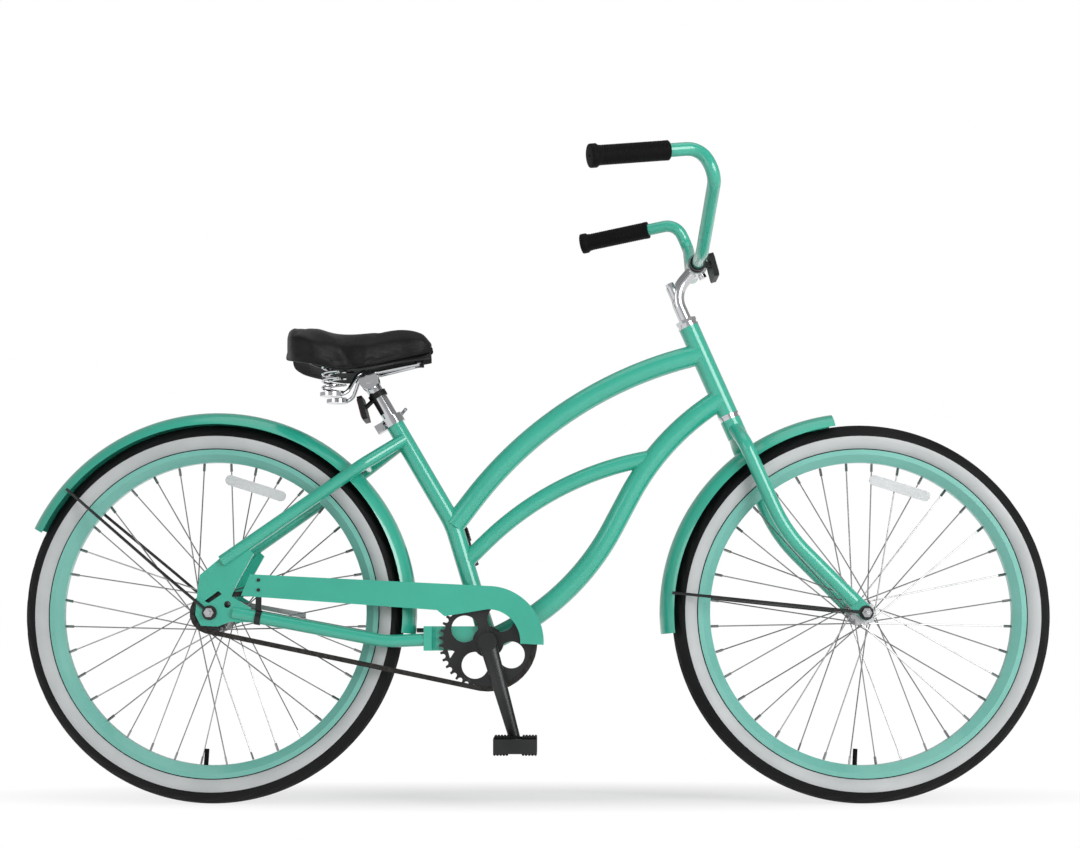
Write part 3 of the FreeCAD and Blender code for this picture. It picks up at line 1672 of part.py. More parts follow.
# One-piece crank, with its cones, bearing rings and pedals
arm_ways = {RIGHT_SIDE: slope(-90 + size("crank_angle")), LEFT_SIDE: slope(90 + size("crank_angle"))}
spindle = rod(
    "spindle",
    crank_at - across(LEFT_SIDE, size("crank_arm_offset")),
    LEFT,
    "crank_spindle_radius",
    "2 * crank_arm_offset",
)
crank_pieces = [spindle]
pedal_holes = []
pedal_spindles = []
for side, arm_way in arm_ways.items():
    word = "right" if side == RIGHT_SIDE else "left"
    root_at = crank_at + across(side, size("crank_arm_offset"))
    tip_at = root_at + arm_way * size("crank_length")
    flat = Rotation(arm_way.cross(LEFT), LEFT, arm_way, "ZXY")
    root_section = add(
        "Part::Ellipse",
        f"crank_root_{word}",
        Placement(root_at, flat),
        MajorRadius="crank_arm_root_half",
        MinorRadius="crank_arm_root_thick",
    )
    tip_section = add(
        "Part::Ellipse",
        f"crank_tip_{word}",
        Placement(tip_at, flat),
        MajorRadius="crank_arm_tip_half",
        MinorRadius="crank_arm_tip_thick",
    )
    arm = doc.addObject("Part::Loft", f"crank_arm_{word}")
    arm.Sections = [root_section, tip_section]
    arm.Solid = True
    arm.Ruled = True
    inside = -across(side, size("crank_arm_root_thick"))
    hub_end = rod(
        f"crank_hub_{word}", root_at + inside, LEFT * side, "crank_hub_radius", "2 * crank_arm_root_thick"
    )
    eye_inside = -across(side, size("crank_arm_tip_thick"))
    eye = rod(
        f"crank_eye_{word}", tip_at + eye_inside, LEFT * side, "crank_eye_radius", "2 * crank_arm_tip_thick"
    )
    crank_pieces += [arm, hub_end, eye]
    hole_start = tip_at - across(side, size("overrun"))
    pedal_holes.append(
        rod(
            f"pedal_hole_{word}", hole_start, LEFT * side, "pedal_spindle_radius + press_gap", "2 * overrun"
        )
    )
    pedal_spindles.append(
        rod(
            f"pedal_spindle_{word}",
            tip_at + eye_inside,
            LEFT * side,
            "pedal_spindle_radius",
            "2 * crank_arm_tip_thick + pedal_gap + pedal_width",
        )
    )
crank_forging = cut("crank_forging", fuse("crank_body", *crank_pieces), *pedal_holes)
keep(group("crank", crank_forging, *pedal_spindles))

bb_cups = []
bb_rings = []
bb_cones = []
for side in (RIGHT_SIDE, LEFT_SIDE):
    shell_end = crank_at + across(side, size("bb_shell_half"))
    inward = LEFT * -side
    sleeve = rod(f"bb_sleeve_{side + 1}", shell_end, inward, "bb_shell_bore - press_gap", "bb_cup_length")
    lip = rod(f"bb_lip_{side + 1}", shell_end, -inward, "bb_shell_radius", "bb_cup_lip")
    bore = rod(
        f"bb_bore_{side + 1}",
        shell_end - inward * size("bb_cup_lip"),
        inward,
        "bb_cup_bore",
        "bb_cup_length + bb_cup_lip",
    )
    bb_cups.append(cut(f"bb_cup_{side + 1}", fuse(f"bb_cup_body_{side + 1}", sleeve, lip), bore))
    bb_rings.append(
        ring(
            f"bb_balls_{side + 1}",
            shell_end,
            inward,
            "bb_cup_bore - run_gap",
            "crank_spindle_radius + press_gap",
            "hub_ring_length",
        )
    )
    bb_cones.append(
        ring(
            f"bb_cone_{side + 1}",
            shell_end - inward * (size("bb_cup_lip") + size("seat_gap")),
            -inward,
            "bb_cone_radius",
            "crank_spindle_radius + press_gap",
            "bb_cone_length",
        )
    )
keep(group("bottom_bracket_cups", *bb_cups))
keep(group("crank_bearings", *bb_rings, *bb_cones))


def pedal(word, side, turn):
    """A pedal about its spindle: a steel body with two rubber blocks between its end plates."""
    start = crank_at + arm_ways[side] * size("crank_length")
    start += across(side, size("crank_arm_offset") + size("crank_arm_tip_thick") + size("pedal_gap"))
    outward = LEFT * side
    place = Rotation(LEFT, turn)

    def slab(name, back, step, length, width, height):
        """A box centred on the spindle's height, with its inner face a step out along the spindle."""
        inner = step if side == LEFT_SIDE else -step - number_of(width)
        corner = Vector(back, inner, -number_of(height) / 2)
        spot = Placement(start + place.multVec(corner), place)
        return add("Part::Box", f"{name}_{word}", spot, Length=length, Width=width, Height=height)

    def end_plate(name, step):
        """One end plate."""
        return slab(
            name,
            -size("pedal_length") / 2,
            step,
            "pedal_length",
            "pedal_plate_thickness",
            "pedal_plate_height",
        )

    plate_thickness = size("pedal_plate_thickness")
    sleeve = rod(f"pedal_sleeve_{word}", start, outward, "pedal_sleeve_radius", "pedal_width")
    bore = rod(f"pedal_bore_{word}", start, outward, "pedal_spindle_radius + run_gap", "pedal_width")
    plates = [end_plate("pedal_inner", 0), end_plate("pedal_outer", size("pedal_width") - plate_thickness)]
    keep(cut(f"pedal_{word}_body", fuse(f"pedal_frame_{word}", sleeve, *plates), bore))
    blocks = [
        slab(
            f"pedal_block_{index}",
            back,
            plate_thickness,
            "pedal_block_length",
            "pedal_width - 2 * pedal_plate_thickness",
            "pedal_block_height",
        )
        for index, back in enumerate(
            (-size("pedal_length") / 2, size("pedal_length") / 2 - size("pedal_block_length"))
        )
    ]
    keep(group(f"pedal_{word}_blocks", *blocks))


pedal("right", RIGHT_SIDE, 0)
pedal("left", LEFT_SIDE, size("seat_lower_angle"))

# Fenders and their stays
outer_depth = "(fender_crown_radius - fender_edge_radius)"
inner_depth = "(fender_crown_radius - fender_wall - fender_edge_radius)"
inner_half = "(fender_half_width - fender_wall)"
fender_profile = [
    (
        "fender_edge_radius",
        "-fender_half_width",
        f"(fender_half_width ^ 2 + {outer_depth} ^ 2) / (2 * {outer_depth})",
        1,
    ),
    ("fender_edge_radius", "fender_half_width"),
    ("fender_edge_radius", inner_half, f"({inner_half} ^ 2 + {inner_depth} ^ 2) / (2 * {inner_depth})", -1),
    ("fender_edge_radius", f"-{inner_half}"),
]


def fender_stay(name, centre, angle, face):
    """A wire stay on the right side, from its eye on the axle to the fender's edge."""
    way = slope(angle)
    eye_start = centre + across(RIGHT_SIDE, face)
    line = face + size("fender_stay_radius")
    top_half = size("fender_half_width") + size("fender_stay_radius") + size("seat_gap")
    route = [
        centre + way * size("fender_stay_eye") + across(RIGHT_SIDE, line),
        centre + way * size("fender_stay_straight") + across(RIGHT_SIDE, line),
        centre + way * (size("fender_edge_radius") + size("fender_stay_eye") / 2) + across(
            RIGHT_SIDE, top_half
        ),
    ]
    wire = swept(
        f"{name}_wire", bent_path(f"{name}_path", route, [size("fender_stay_bend")]), "fender_stay_radius"
    )
    eye = rod(
        f"{name}_eye", eye_start, -LEFT, "fender_stay_eye + fender_stay_radius", "fender_stay_eye_thickness"
    )
    hole = rod(
        f"{name}_hole",
        eye_start,
        -LEFT,
        "rear_axle_radius + seat_gap",
        "fender_stay_eye_thickness + fender_stay_radius * 2",
    )
    right = cut(f"{name}_right", fuse(f"{name}_body", wire, eye), hole)
    return [right, mirrored(f"{name}_left", right)]


rear_fender = turned(
    "rear_fender",
    "XY_Plane",
    [fender_profile],
    Placement(rear_axle_at, Rotation(LEFT, -size("rear_fender_tail"))),
    "rear_fender_span",
)
keep(rear_fender)
front_fender = turned(
    "front_fender",
    "XY_Plane",
    [fender_profile],
    Placement(front_axle_at, Rotation(LEFT, -size("front_fender_tail"))),
    "front_fender_span",
)
keep(front_fender)
rear_stays = fender_stay(
    "rear_fender_stay", rear_axle_at, size("rear_stay_angle"), rear_face + size("dropout_thickness")
)
front_stays = fender_stay(
    "front_fender_stay", front_axle_at, size("front_stay_angle"), front_face + size("fork_end_thickness")
)


def spacer(name, start, end):
    """A round spacer bolt between two points."""
    piece = add("Part::Cylinder", name, along(start, end - start), Radius="fender_bolt_radius")
    piece.Height = (end - start).Length
    return piece


bridge_bolt = spacer(
    "bridge_bolt",
    rear_axle_at + bridge_way * (size("fender_crown_radius") + size("bolt_gap")),
    bridge_middle - bridge_way * (size("bridge_radius") + size("weld_gap")),
)
yoke_bolt_z = crank_at.z + size("yoke_bolt_rise")
yoke_bolt_reach = math.sqrt(size("fender_crown_radius") ** 2 - (yoke_bolt_z - rear_axle_at.z) ** 2)
yoke_bolt = spacer(
    "yoke_bolt",
    Vector(rear_axle_at.x + yoke_bolt_reach + size("bolt_gap"), 0, yoke_bolt_z),
    Vector(crank_at.x - size("yoke_length") - size("weld_gap"), 0, yoke_bolt_z),
)
keep(group("rear_fender_stays", *rear_stays, bridge_bolt, yoke_bolt))
crown_foot = on_steerer(crown_bottom)
crown_way = unit(crown_foot - front_axle_at)
front_bolt = spacer(
    "front_fender_bolt",
    front_axle_at + crown_way * (size("fender_crown_radius") + size("bolt_gap")),
    crown_foot - crown_way * size("weld_gap") - steer_up * size("fender_bolt_radius"),
)
keep(group("front_fender_stays", *front_stays, front_bolt))

# Chain guard: a pressed cover with its rim turned in over the chain
guard_rear = rear_axle_at - crank_at
guard_tail_x = guard_rear.x
guard_top_z = guard_rear.z + size("guard_rear_top")
guard_front = slope(size("guard_front_angle"))


def guard_corners(inset):
    """The cover's outline about the crank, whose inset moves the turned-in rim inward."""
    tail = f"{guard_tail_x:.6f} + guard_rear_reach"
    return [
        (tail, f"{guard_top_z:.6f} - {inset}"),
        ("0", f"guard_radius - {inset}", f"guard_radius - {inset}", -1),
        (
            f"(guard_radius - {inset}) * {guard_front.x:.6f}",
            f"(guard_radius - {inset}) * {guard_front.z:.6f}",
        ),
    ]


guard_outline = guard_corners("0") + [
    (
        f"guard_inner_radius * {guard_front.x:.6f}",
        f"guard_inner_radius * {guard_front.z:.6f}",
        "guard_inner_radius",
        1,
    ),
    ("0", "guard_inner_radius"),
    ("-guard_chin_back", "guard_inner_radius - guard_chin_drop"),
    ("-guard_waist_back", "guard_inner_radius - guard_wall"),
    (f"{guard_tail_x:.6f} + guard_rear_low_reach", f"{guard_rear.z:.6f} + guard_rear_low_rise"),
]
guard_hollow = guard_corners("guard_wall") + [
    (f"(guard_radius - guard_wall) * {guard_front.x:.6f}", "-guard_radius"),
    (f"{guard_tail_x:.6f}", "-guard_radius"),
    (f"{guard_tail_x:.6f}", f"{guard_top_z:.6f} - guard_wall"),
]
guard_side = crank_at + across(RIGHT_SIDE, size("guard_offset") - size("guard_depth"))
guard_block = plate(
    "guard_block", "XZ_Plane", [guard_outline], [], "guard_depth", Placement(guard_side, Rotation())
)
guard_core = plate(
    "guard_core",
    "XZ_Plane",
    [guard_hollow],
    [],
    "guard_depth - guard_wall + overrun",
    Placement(guard_side + across(LEFT_SIDE, size("overrun")), Rotation()),
)
keep(cut("chain_guard", guard_block, guard_core))

strap_inner = size("guard_offset") - size("guard_wall") - size("strap_thickness")
strap_x = rear_axle_at.x + size("strap_reach")
stay_at = chain_stay_route[0] + stay_way * (size("strap_reach") - size("chain_stay_start"))
strap_place = Placement(
    Vector(strap_x - size("strap_width") / 2, -strap_inner, stay_at.z), Rotation()
)
strap_plate = plate(
    "strap_plate",
    "XZ_Plane",
    [[("0", "0"), ("strap_width", "0"), ("strap_width", "strap_rise"), ("0", "strap_rise")]],
    [],
    "strap_thickness",
    strap_place,
)
strap_band = ring(
    "strap_band",
    stay_at - stay_way * (size("strap_width") / 2),
    stay_way,
    "stay_radius + strap_thickness",
    "stay_radius + weld_gap",
    "strap_width",
)
strap_screws = [
    rod(
        f"strap_screw_{index}",
        Vector(strap_x, -size("guard_offset"), rear_axle_at.z + height),
        -LEFT,
        "strap_screw_radius",
        "strap_screw_head",
    )
    for index, height in enumerate(
        (size("guard_rear_low_rise") + size("strap_width"), size("guard_rear_top") - size("strap_width"))
    )
]
strap = cut("strap", fuse("strap_body", strap_plate, strap_band), stay_bore)
keep(group("chain_guard_strap", strap, *strap_screws))

# Seat collar with its quick release, and the post with the head that the saddle clamps to
post_start = seat_top - seat_upper_way * size("seat_post_insert")
collar_at = seat_top - seat_upper_way * size("collar_drop")
collar_back = seat_upper_way.cross(LEFT)
collar_middle = collar_at + seat_upper_way * (size("collar_height") / 2)
collar_ring = rod("collar_ring", collar_at, seat_upper_way, "collar_radius", "collar_height")
collar_ear = add(
    "Part::Box",
    "collar_ear",
    Placement(
        collar_at + across(LEFT_SIDE, size("collar_ear_half")), Rotation(
            collar_back, -LEFT, seat_upper_way, "ZXY"
        )
    ),
    Length="collar_radius + collar_ear_length",
    Width="2 * collar_ear_half",
    Height="collar_height",
)
collar_lower_hole = rod(
    "collar_lower_hole", collar_at, seat_upper_way, "seat_tube_radius + weld_gap", "collar_drop"
)
collar_upper_hole = rod(
    "collar_upper_hole", collar_at, seat_upper_way, "seat_post_radius + run_gap", "collar_height"
)
bolt_middle = collar_middle + collar_back * (size("collar_radius") + size("collar_ear_length") / 2)
bolt_end = bolt_middle + across(RIGHT_SIDE, size("collar_bolt_length") / 2)
collar_bolt_hole = rod(
    "collar_bolt_hole", bolt_end, LEFT, "collar_bolt_radius + press_gap", "collar_bolt_length"
)
collar = cut(
    "collar",
    fuse("collar_body", collar_ring, collar_ear),
    collar_lower_hole,
    collar_upper_hole,
    collar_bolt_hole,
)
collar_bolt = rod("collar_bolt", bolt_end, LEFT, "collar_bolt_radius", "collar_bolt_length")
nut_start = bolt_middle + across(RIGHT_SIDE, size("collar_ear_half") + size("weld_gap"))
collar_nut = rod("collar_nut", nut_start, -LEFT, "collar_nut_radius", "collar_nut_length")
lever_route = [
    bolt_middle + across(LEFT_SIDE, size("collar_bolt_length") / 2 - size("collar_lever_radius")),
    collar_middle + across(LEFT_SIDE, size("collar_lever_side")),
    collar_middle
    - collar_back * size("collar_lever_reach")
    + across(LEFT_SIDE, size("collar_lever_tip_half"))
    + seat_upper_way * size("collar_lever_rise"),
]
lever_path = bent_path("lever_path", lever_route, [size("collar_lever_bend")])
collar_lever = swept("collar_lever", lever_path, "collar_lever_radius")
keep(group("seat_collar", collar, fuse("collar_skewer", collar_bolt, collar_nut, collar_lever)))

clamp_at = seat_top + seat_upper_way * (size("seat_post_show") - size("clamp_radius") / 2)
post_tube = ring(
    "post_tube",
    post_start,
    seat_upper_way,
    "seat_post_radius",
    "seat_post_radius - seat_post_wall",
    "seat_post_insert + seat_post_show",
)
head_left = clamp_at + across(LEFT_SIDE, size("post_head_half"))
post_head = rod("post_head", head_left, -LEFT, "post_head_radius", "2 * post_head_half")
post_bolt_hole = rod(
    "post_bolt_hole", head_left, -LEFT, "clamp_bolt_radius + run_gap", "2 * post_head_half"
)
keep(cut("seat_post", fuse("post_body", post_tube, post_head), post_bolt_hole))
rear_band_at = seat_top + seat_upper_way * size("rear_reflector_up")
rear_slab_back = number_of("rear_reflector_back + reflector_thickness")
rear_slab_at = rear_band_at - Vector(rear_slab_back, 0, size("rear_reflector_drop"))
reflector("rear_reflector", rear_band_at, seat_upper_way, "seat_post_radius", rear_slab_at)

# Saddle: cheeks that clamp two rails to the post head, coil springs at the rear, a pan and the cushion
rail_line = clamp_at + UP * (size("clamp_radius") - size("rail_radius"))
spring_foot = clamp_at + Vector(-size("spring_back"), 0, -size("spring_seat_drop"))
nose_at = clamp_at + Vector(size("nose_forward"), 0, size("nose_rise"))


def rail_route(side):
    """A rail from the nose bolt, over the clamp and down to the spring seat."""
    return [
        nose_at + across(side, size("nose_half")) - UP * size("rail_radius"),
        rail_line + FORWARD * size("clamp_radius") + across(side, size("rail_half")),
        rail_line - FORWARD * size("clamp_radius") + across(side, size("rail_half")),
        spring_foot + FORWARD * (size("spring_disc_radius") + size("rail_foot_run")) + across(
            side, size("rail_rear_half")
        ),
        spring_foot + across(side, size("rail_rear_half")),
    ]


rails = []
springs = []


def biarc_edges(start, start_way, end, end_way):
    """Two tangent arcs that join two points with given directions."""
    gap = end - start
    both = start_way + end_way
    spread = 2 * (1 - start_way.dot(end_way))
    reach = (math.sqrt(gap.dot(both) ** 2 + spread * gap.dot(gap)) - gap.dot(both)) / spread
    knees = [start + start_way * reach, end - end_way * reach]
    joint = (knees[0] + knees[1]) * 0.5
    edges = []
    for first, knee, last in ((start, knees[0], joint), (joint, knees[1], end)):
        turn = (knee - first).getAngle(last - knee)
        base = (first + last) * 0.5
        edges.append(
            Part.Arc(first, base + (knee - base) * (math.tan(turn / 4) / math.tan(turn / 2)), last).toShape(),
        )
    return edges


def spring_shape(foot, height):
    """One coil spring standing on its foot, a wire wound at a steady rate."""
    coil_radius, wire = size("spring_coil_radius"), size("spring_wire_radius")
    turns = int(size("spring_turns"))
    rise = (height - 2 * wire) / turns
    quarters = turns * 4

    def spot(quarter):
        """A point on the coil and its direction, a number of quarter turns up from the foot."""
        turn = quarter * math.pi / 2
        point = Vector(
            coil_radius * math.cos(turn), coil_radius * math.sin(turn), wire + rise * quarter / 4
        )
        way = Vector(-math.sin(turn), math.cos(turn), rise / (2 * math.pi * coil_radius))
        return foot + point, unit(way)

    edges = []
    for quarter in range(quarters):
        edges += biarc_edges(*spot(quarter), *spot(quarter + 1))
    start, way = spot(0)
    corners = [
        Vector(
            wire * math.cos(2 * math.pi * index / WIRE_SIDES),
            wire * math.sin(2 * math.pi * index / WIRE_SIDES),
            0,
        )
        for index in range(WIRE_SIDES)
    ]
    section = moved(Part.makePolygon(corners + corners[:1]), along(start, way))
    gap = rise - 2 * wire
    print(f"spring wire gap {gap:.2f} mm")
    return Part.Wire(edges).makePipeShell([section], True, False)


for side in (RIGHT_SIDE, LEFT_SIDE):
    route = rail_route(side)
    rail_path = bent_path(f"rail_path_{side + 1}", route, [size("rail_bend")] * 3)
    rail = swept(f"rail_wire_{side + 1}", rail_path, "rail_radius")
    foot = spring_foot + across(side, size("rail_rear_half")) + UP * size("rail_radius")
    disc = rod(
        f"spring_disc_{side + 1}", foot, -UP, "spring_disc_radius", "spring_disc_thickness + rail_radius"
    )
    rails += [rail, disc]
    springs.append(spring_shape(foot + UP * size("weld_gap"), size("spring_height")))

rail_spaces = [
    swept(f"rail_space_{side + 1}", doc.getObject(f"rail_path_{side + 1}"), "rail_radius + weld_gap")
    for side in (RIGHT_SIDE, LEFT_SIDE)
]
cheek_out = "(post_head_half + seat_gap + clamp_thickness)"
bolt_half = f"({cheek_out} + weld_gap + clamp_nut_height)"
bolt_left = clamp_at + across(LEFT_SIDE, number_of(bolt_half))
clamp_bolt = rod("clamp_bolt", bolt_left, -LEFT, "clamp_bolt_radius", f"2 * {bolt_half}")
cheek_hole = rod("cheek_hole", bolt_left, -LEFT, "clamp_bolt_radius + press_gap", f"2 * {bolt_half}")
cheeks = []
clamp_nuts = []
for side, rail_space in zip((RIGHT_SIDE, LEFT_SIDE), rail_spaces):
    cheek_end = clamp_at + across(side, number_of(cheek_out))
    cheek = rod(f"cheek_disc_{side + 1}", cheek_end, LEFT * -side, "clamp_radius", "clamp_thickness")
    cheeks.append(cut(f"cheek_{side + 1}", cheek, rail_space, cheek_hole))
    nut_start = cheek_end + across(side, size("weld_gap"))
    clamp_nuts.append(
        hexagon_bar(f"clamp_nut_{side + 1}", nut_start, LEFT * side, "clamp_nut_across", "clamp_nut_height")
    )
keep(group("saddle_clamp", *cheeks, fuse("clamp_bolt_set", clamp_bolt, *clamp_nuts)))
nose_bolt = rod(
    "nose_bolt",
    nose_at + across(LEFT_SIDE, size("nose_bolt_half")),
    -LEFT,
    "nose_bolt_radius",
    "2 * nose_bolt_half",
)
keep(fuse("saddle_rails", *rails, nose_bolt))
saddle_springs = doc.addObject("Part::Feature", "saddle_springs")
saddle_springs.Shape = Part.makeCompound(springs)
keep(saddle_springs)

saddle_base = clamp_at + Vector(-size("saddle_rear_back"), 0, size("saddle_base_rise"))


def saddle_spot(station, half_share, height_share):
    """A point of a saddle section, from shares of its length, half width and height."""
    return saddle_base + Vector(
        station * size("saddle_length"),
        half_share * size("saddle_width") / 2,
        height_share * size("saddle_height"),
    )


def arc_edge(start, middle, end):
    """A round edge through three points."""
    return Part.Arc(start, middle, end).toShape()


def cushion_section(station, half, top, skirt, belly):
    """A cushion section: hollow belly, drawn-in skirts and a crowned top."""
    side = skirt + (top - skirt) * SADDLE_SIDE_SHARE
    skirt_half = half * SADDLE_SKIRT_SHARE
    bulge = half * (1 + SADDLE_SKIRT_SHARE) / 2 + half * (1 - SADDLE_SKIRT_SHARE) / 3
    foot_right, foot_left = saddle_spot(station, -skirt_half, skirt), saddle_spot(
        station, skirt_half, skirt
    )
    side_right, side_left = saddle_spot(station, -half, side), saddle_spot(station, half, side)
    wall = (skirt + side) / 2
    return Part.Wire(
        [
            arc_edge(foot_right, saddle_spot(station, 0, belly), foot_left),
            arc_edge(foot_left, saddle_spot(station, bulge, wall), side_left),
            arc_edge(side_left, saddle_spot(station, 0, top), side_right),
            arc_edge(side_right, saddle_spot(station, -bulge, wall), foot_right),
        ]
    )


def pan_section(station, half, belly, skirt):
    """A pan section: a thin arch under the cushion's belly."""
    wide = half * SADDLE_PAN_SHARE
    drop = (belly - skirt) * SADDLE_PAN_SHARE**2 / SADDLE_SKIRT_SHARE**2
    clear = UP * size("pan_gap")
    thick = UP * size("saddle_pan_thickness")
    right, left = saddle_spot(station, -wide, belly - drop) - clear, saddle_spot(
        station, wide, belly - drop
    ) - clear
    middle = saddle_spot(station, 0, belly) - clear
    return Part.Wire(
        [
            arc_edge(right, middle, left),
            Part.LineSegment(left, left - thick).toShape(),
            arc_edge(left - thick, middle - thick, right - thick),
            Part.LineSegment(right - thick, right).toShape(),
        ]
    )


cushion = doc.addObject("Part::Feature", "saddle_cushion")
cushion.Shape = Part.makeLoft([cushion_section(*shares) for shares in SADDLE_SHARES], True, False)
keep(cushion)
pan_arch = doc.addObject("Part::Feature", "pan_arch")
pan_arch.Shape = Part.makeLoft(
    [pan_section(station, half, belly, skirt) for station, half, top, skirt, belly in SADDLE_SHARES[1:-1]],
    True,
    False,
)
lug_corner = nose_at - Vector(size("nose_lug_length") / 2, size("nose_lug_half"), size("nose_lug_drop"))
nose_lug = add(
    "Part::Box",
    "nose_lug",
    Placement(lug_corner, Rotation()),
    Length="nose_lug_length",
    Width="2 * nose_lug_half",
    Height="nose_lug_height",
)
caps = []
for side in (RIGHT_SIDE, LEFT_SIDE):
    cap_at = spring_foot + across(side, size("rail_rear_half")) + UP * number_of(
        "rail_radius + spring_height + 2 * weld_gap"
    )
    caps.append(rod(f"spring_cap_{side + 1}", cap_at, UP, "spring_cap_radius", "spring_cap_thickness"))
    caps.append(rod(f"spring_post_{side + 1}", cap_at, UP, "spring_post_radius", "spring_post_height"))
nose_hole = rod(
    "nose_hole",
    nose_at + across(LEFT_SIDE, size("nose_bolt_half")),
    -LEFT,
    "nose_bolt_radius + run_gap",
    "2 * nose_bolt_half",
)
keep(cut("saddle_pan", fuse("pan_body", pan_arch, nose_lug, *caps), nose_hole))

doc.recompute()
failed = [item.Label for item in doc.Objects if "Invalid" in item.State or "Error" in item.State]
broken = [
    item.Label for item in NODES if item.Shape.isNull() or not item.Shape.isValid() or not item.Shape.Solids
]
if failed or broken:
    raise RuntimeError(f"failed objects {failed}, broken sub-parts {broken}")
os.makedirs("parts", exist_ok=True)
for item in NODES:
    item.Shape.exportStep(f"parts/{item.Label}.step")
print(f"{len(NODES)} sub-parts, chain stay length {chain_stay_length:.1f} mm")
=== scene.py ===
"""Looks of a beach cruiser bicycle: finishes, saddle, tyres, grips and pedals, and the studio round it."""

from __future__ import annotations

import json
import logging
import math
from dataclasses import dataclass
from enum import Enum
from typing import Callable, Sequence

import bmesh
import bpy
from mathutils import Matrix, Vector
from mathutils.bvhtree import BVHTree

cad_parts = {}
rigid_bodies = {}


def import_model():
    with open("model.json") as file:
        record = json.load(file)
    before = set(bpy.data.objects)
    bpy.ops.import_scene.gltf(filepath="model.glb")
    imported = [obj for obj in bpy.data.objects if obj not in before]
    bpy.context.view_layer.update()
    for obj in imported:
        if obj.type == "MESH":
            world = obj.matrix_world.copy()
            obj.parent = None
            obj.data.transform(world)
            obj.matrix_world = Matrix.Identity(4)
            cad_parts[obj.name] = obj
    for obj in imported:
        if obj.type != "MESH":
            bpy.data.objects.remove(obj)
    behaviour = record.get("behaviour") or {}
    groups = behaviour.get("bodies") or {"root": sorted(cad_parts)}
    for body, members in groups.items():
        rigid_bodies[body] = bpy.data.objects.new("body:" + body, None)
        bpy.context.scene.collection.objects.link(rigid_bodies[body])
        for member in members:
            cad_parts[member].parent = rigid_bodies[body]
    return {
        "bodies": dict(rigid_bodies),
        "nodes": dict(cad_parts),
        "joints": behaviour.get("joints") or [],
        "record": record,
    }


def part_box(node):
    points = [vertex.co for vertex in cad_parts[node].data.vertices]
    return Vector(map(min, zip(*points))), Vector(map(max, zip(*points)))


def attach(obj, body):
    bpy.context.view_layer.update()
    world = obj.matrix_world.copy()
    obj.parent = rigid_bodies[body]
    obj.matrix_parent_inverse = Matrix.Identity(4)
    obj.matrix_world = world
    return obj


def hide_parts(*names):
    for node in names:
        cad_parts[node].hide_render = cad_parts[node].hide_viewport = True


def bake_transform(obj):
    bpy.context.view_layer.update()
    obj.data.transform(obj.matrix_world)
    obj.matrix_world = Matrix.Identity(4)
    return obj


LOG = logging.getLogger("beach_cruiser")
WHITE = (1.0, 1.0, 1.0, 1.0)
Colour = tuple[float, float, float]
Point = tuple[float, float, float]


class Side(Enum):
    """The two sides of the bicycle, by the sign of Y."""

    RIGHT = -1
    LEFT = 1


class Board:
    """A node tree with short calls for placing and joining nodes."""

    def __init__(self, tree: bpy.types.NodeTree) -> None:
        """Takes the tree that nodes go into."""
        self.tree = tree

    def add(self, kind: str, **values: object) -> bpy.types.Node:
        """Places a node.

        Args:
            kind: The node's type, without its ShaderNode prefix.
            values: Properties of the node, and input values under the input's name, with _ for a space.

        Returns:
            The new node.
        """
        node = self.tree.nodes.new(f"ShaderNode{kind}")
        sockets = {socket.name.replace(" ", "_"): socket for socket in reversed(node.inputs)}
        for key, value in values.items():
            if key in sockets:
                sockets[key].default_value = value
            else:
                setattr(node, key, value)
        return node

    def join(self, source: bpy.types.NodeSocket, target: bpy.types.NodeSocket) -> None:
        """Links an output to an input."""
        self.tree.links.new(source, target)

    def blend(self, mask: bpy.types.NodeSocket, low: object, high: object) -> bpy.types.NodeSocket:
        """Mixes two colours by a mask.

        Args:
            mask: The mask, 0 for low and 1 for high.
            low: A colour or a colour socket.
            high: A colour or a colour socket.

        Returns:
            The mixed colour.
        """
        mix = self.add("Mix", data_type="RGBA")
        self.join(mask, mix.inputs["Factor"])
        for index, value in ((6, low), (7, high)):
            if isinstance(value, bpy.types.NodeSocket):
                self.join(value, mix.inputs[index])
            else:
                mix.inputs[index].default_value = (*value, 1.0)
        return mix.outputs[2]

    def ramp(
        self, source: bpy.types.NodeSocket, low: float, high: float, to_low: float, to_high: float
    ) -> bpy.types.NodeSocket:
        """Maps a range of values to another range, held at its ends.

        Args:
            source: The value.
            low: The value that maps to to_low.
            high: The value that maps to to_high.
            to_low: The first end of the result.
            to_high: The other end of the result.

        Returns:
            The mapped value.
        """
        node = self.add("MapRange", From_Min=low, From_Max=high, To_Min=to_low, To_Max=to_high)
        self.join(source, node.inputs["Value"])
        return node.outputs["Result"]

    def ray_is(self, first: str, second: str) -> bpy.types.NodeSocket:
        """A mask that is 1 for rays of two kinds, named as on the Light Path node, and 0 for others."""
        path = self.add("LightPath")
        either = self.add("Math", operation="MAXIMUM")
        for kind, socket in zip((first, second), either.inputs):
            self.join(path.outputs[kind], socket)
        return either.outputs[0]

    def show(self, mask: bpy.types.NodeSocket, low: bpy.types.Node, high: bpy.types.Node, kind: str) -> None:
        """Mixes two shaders by a mask and sends them to the surface of an output node.

        Args:
            mask: The mask, 0 for low and 1 for high.
            low: A shader node.
            high: A shader node.
            kind: The output node's type, without its ShaderNode prefix.
        """
        mix = self.add("MixShader")
        for source, socket in zip((mask, low.outputs[0], high.outputs[0]), mix.inputs):
            self.join(source, socket)
        self.join(mix.outputs[0], self.add(kind).inputs["Surface"])


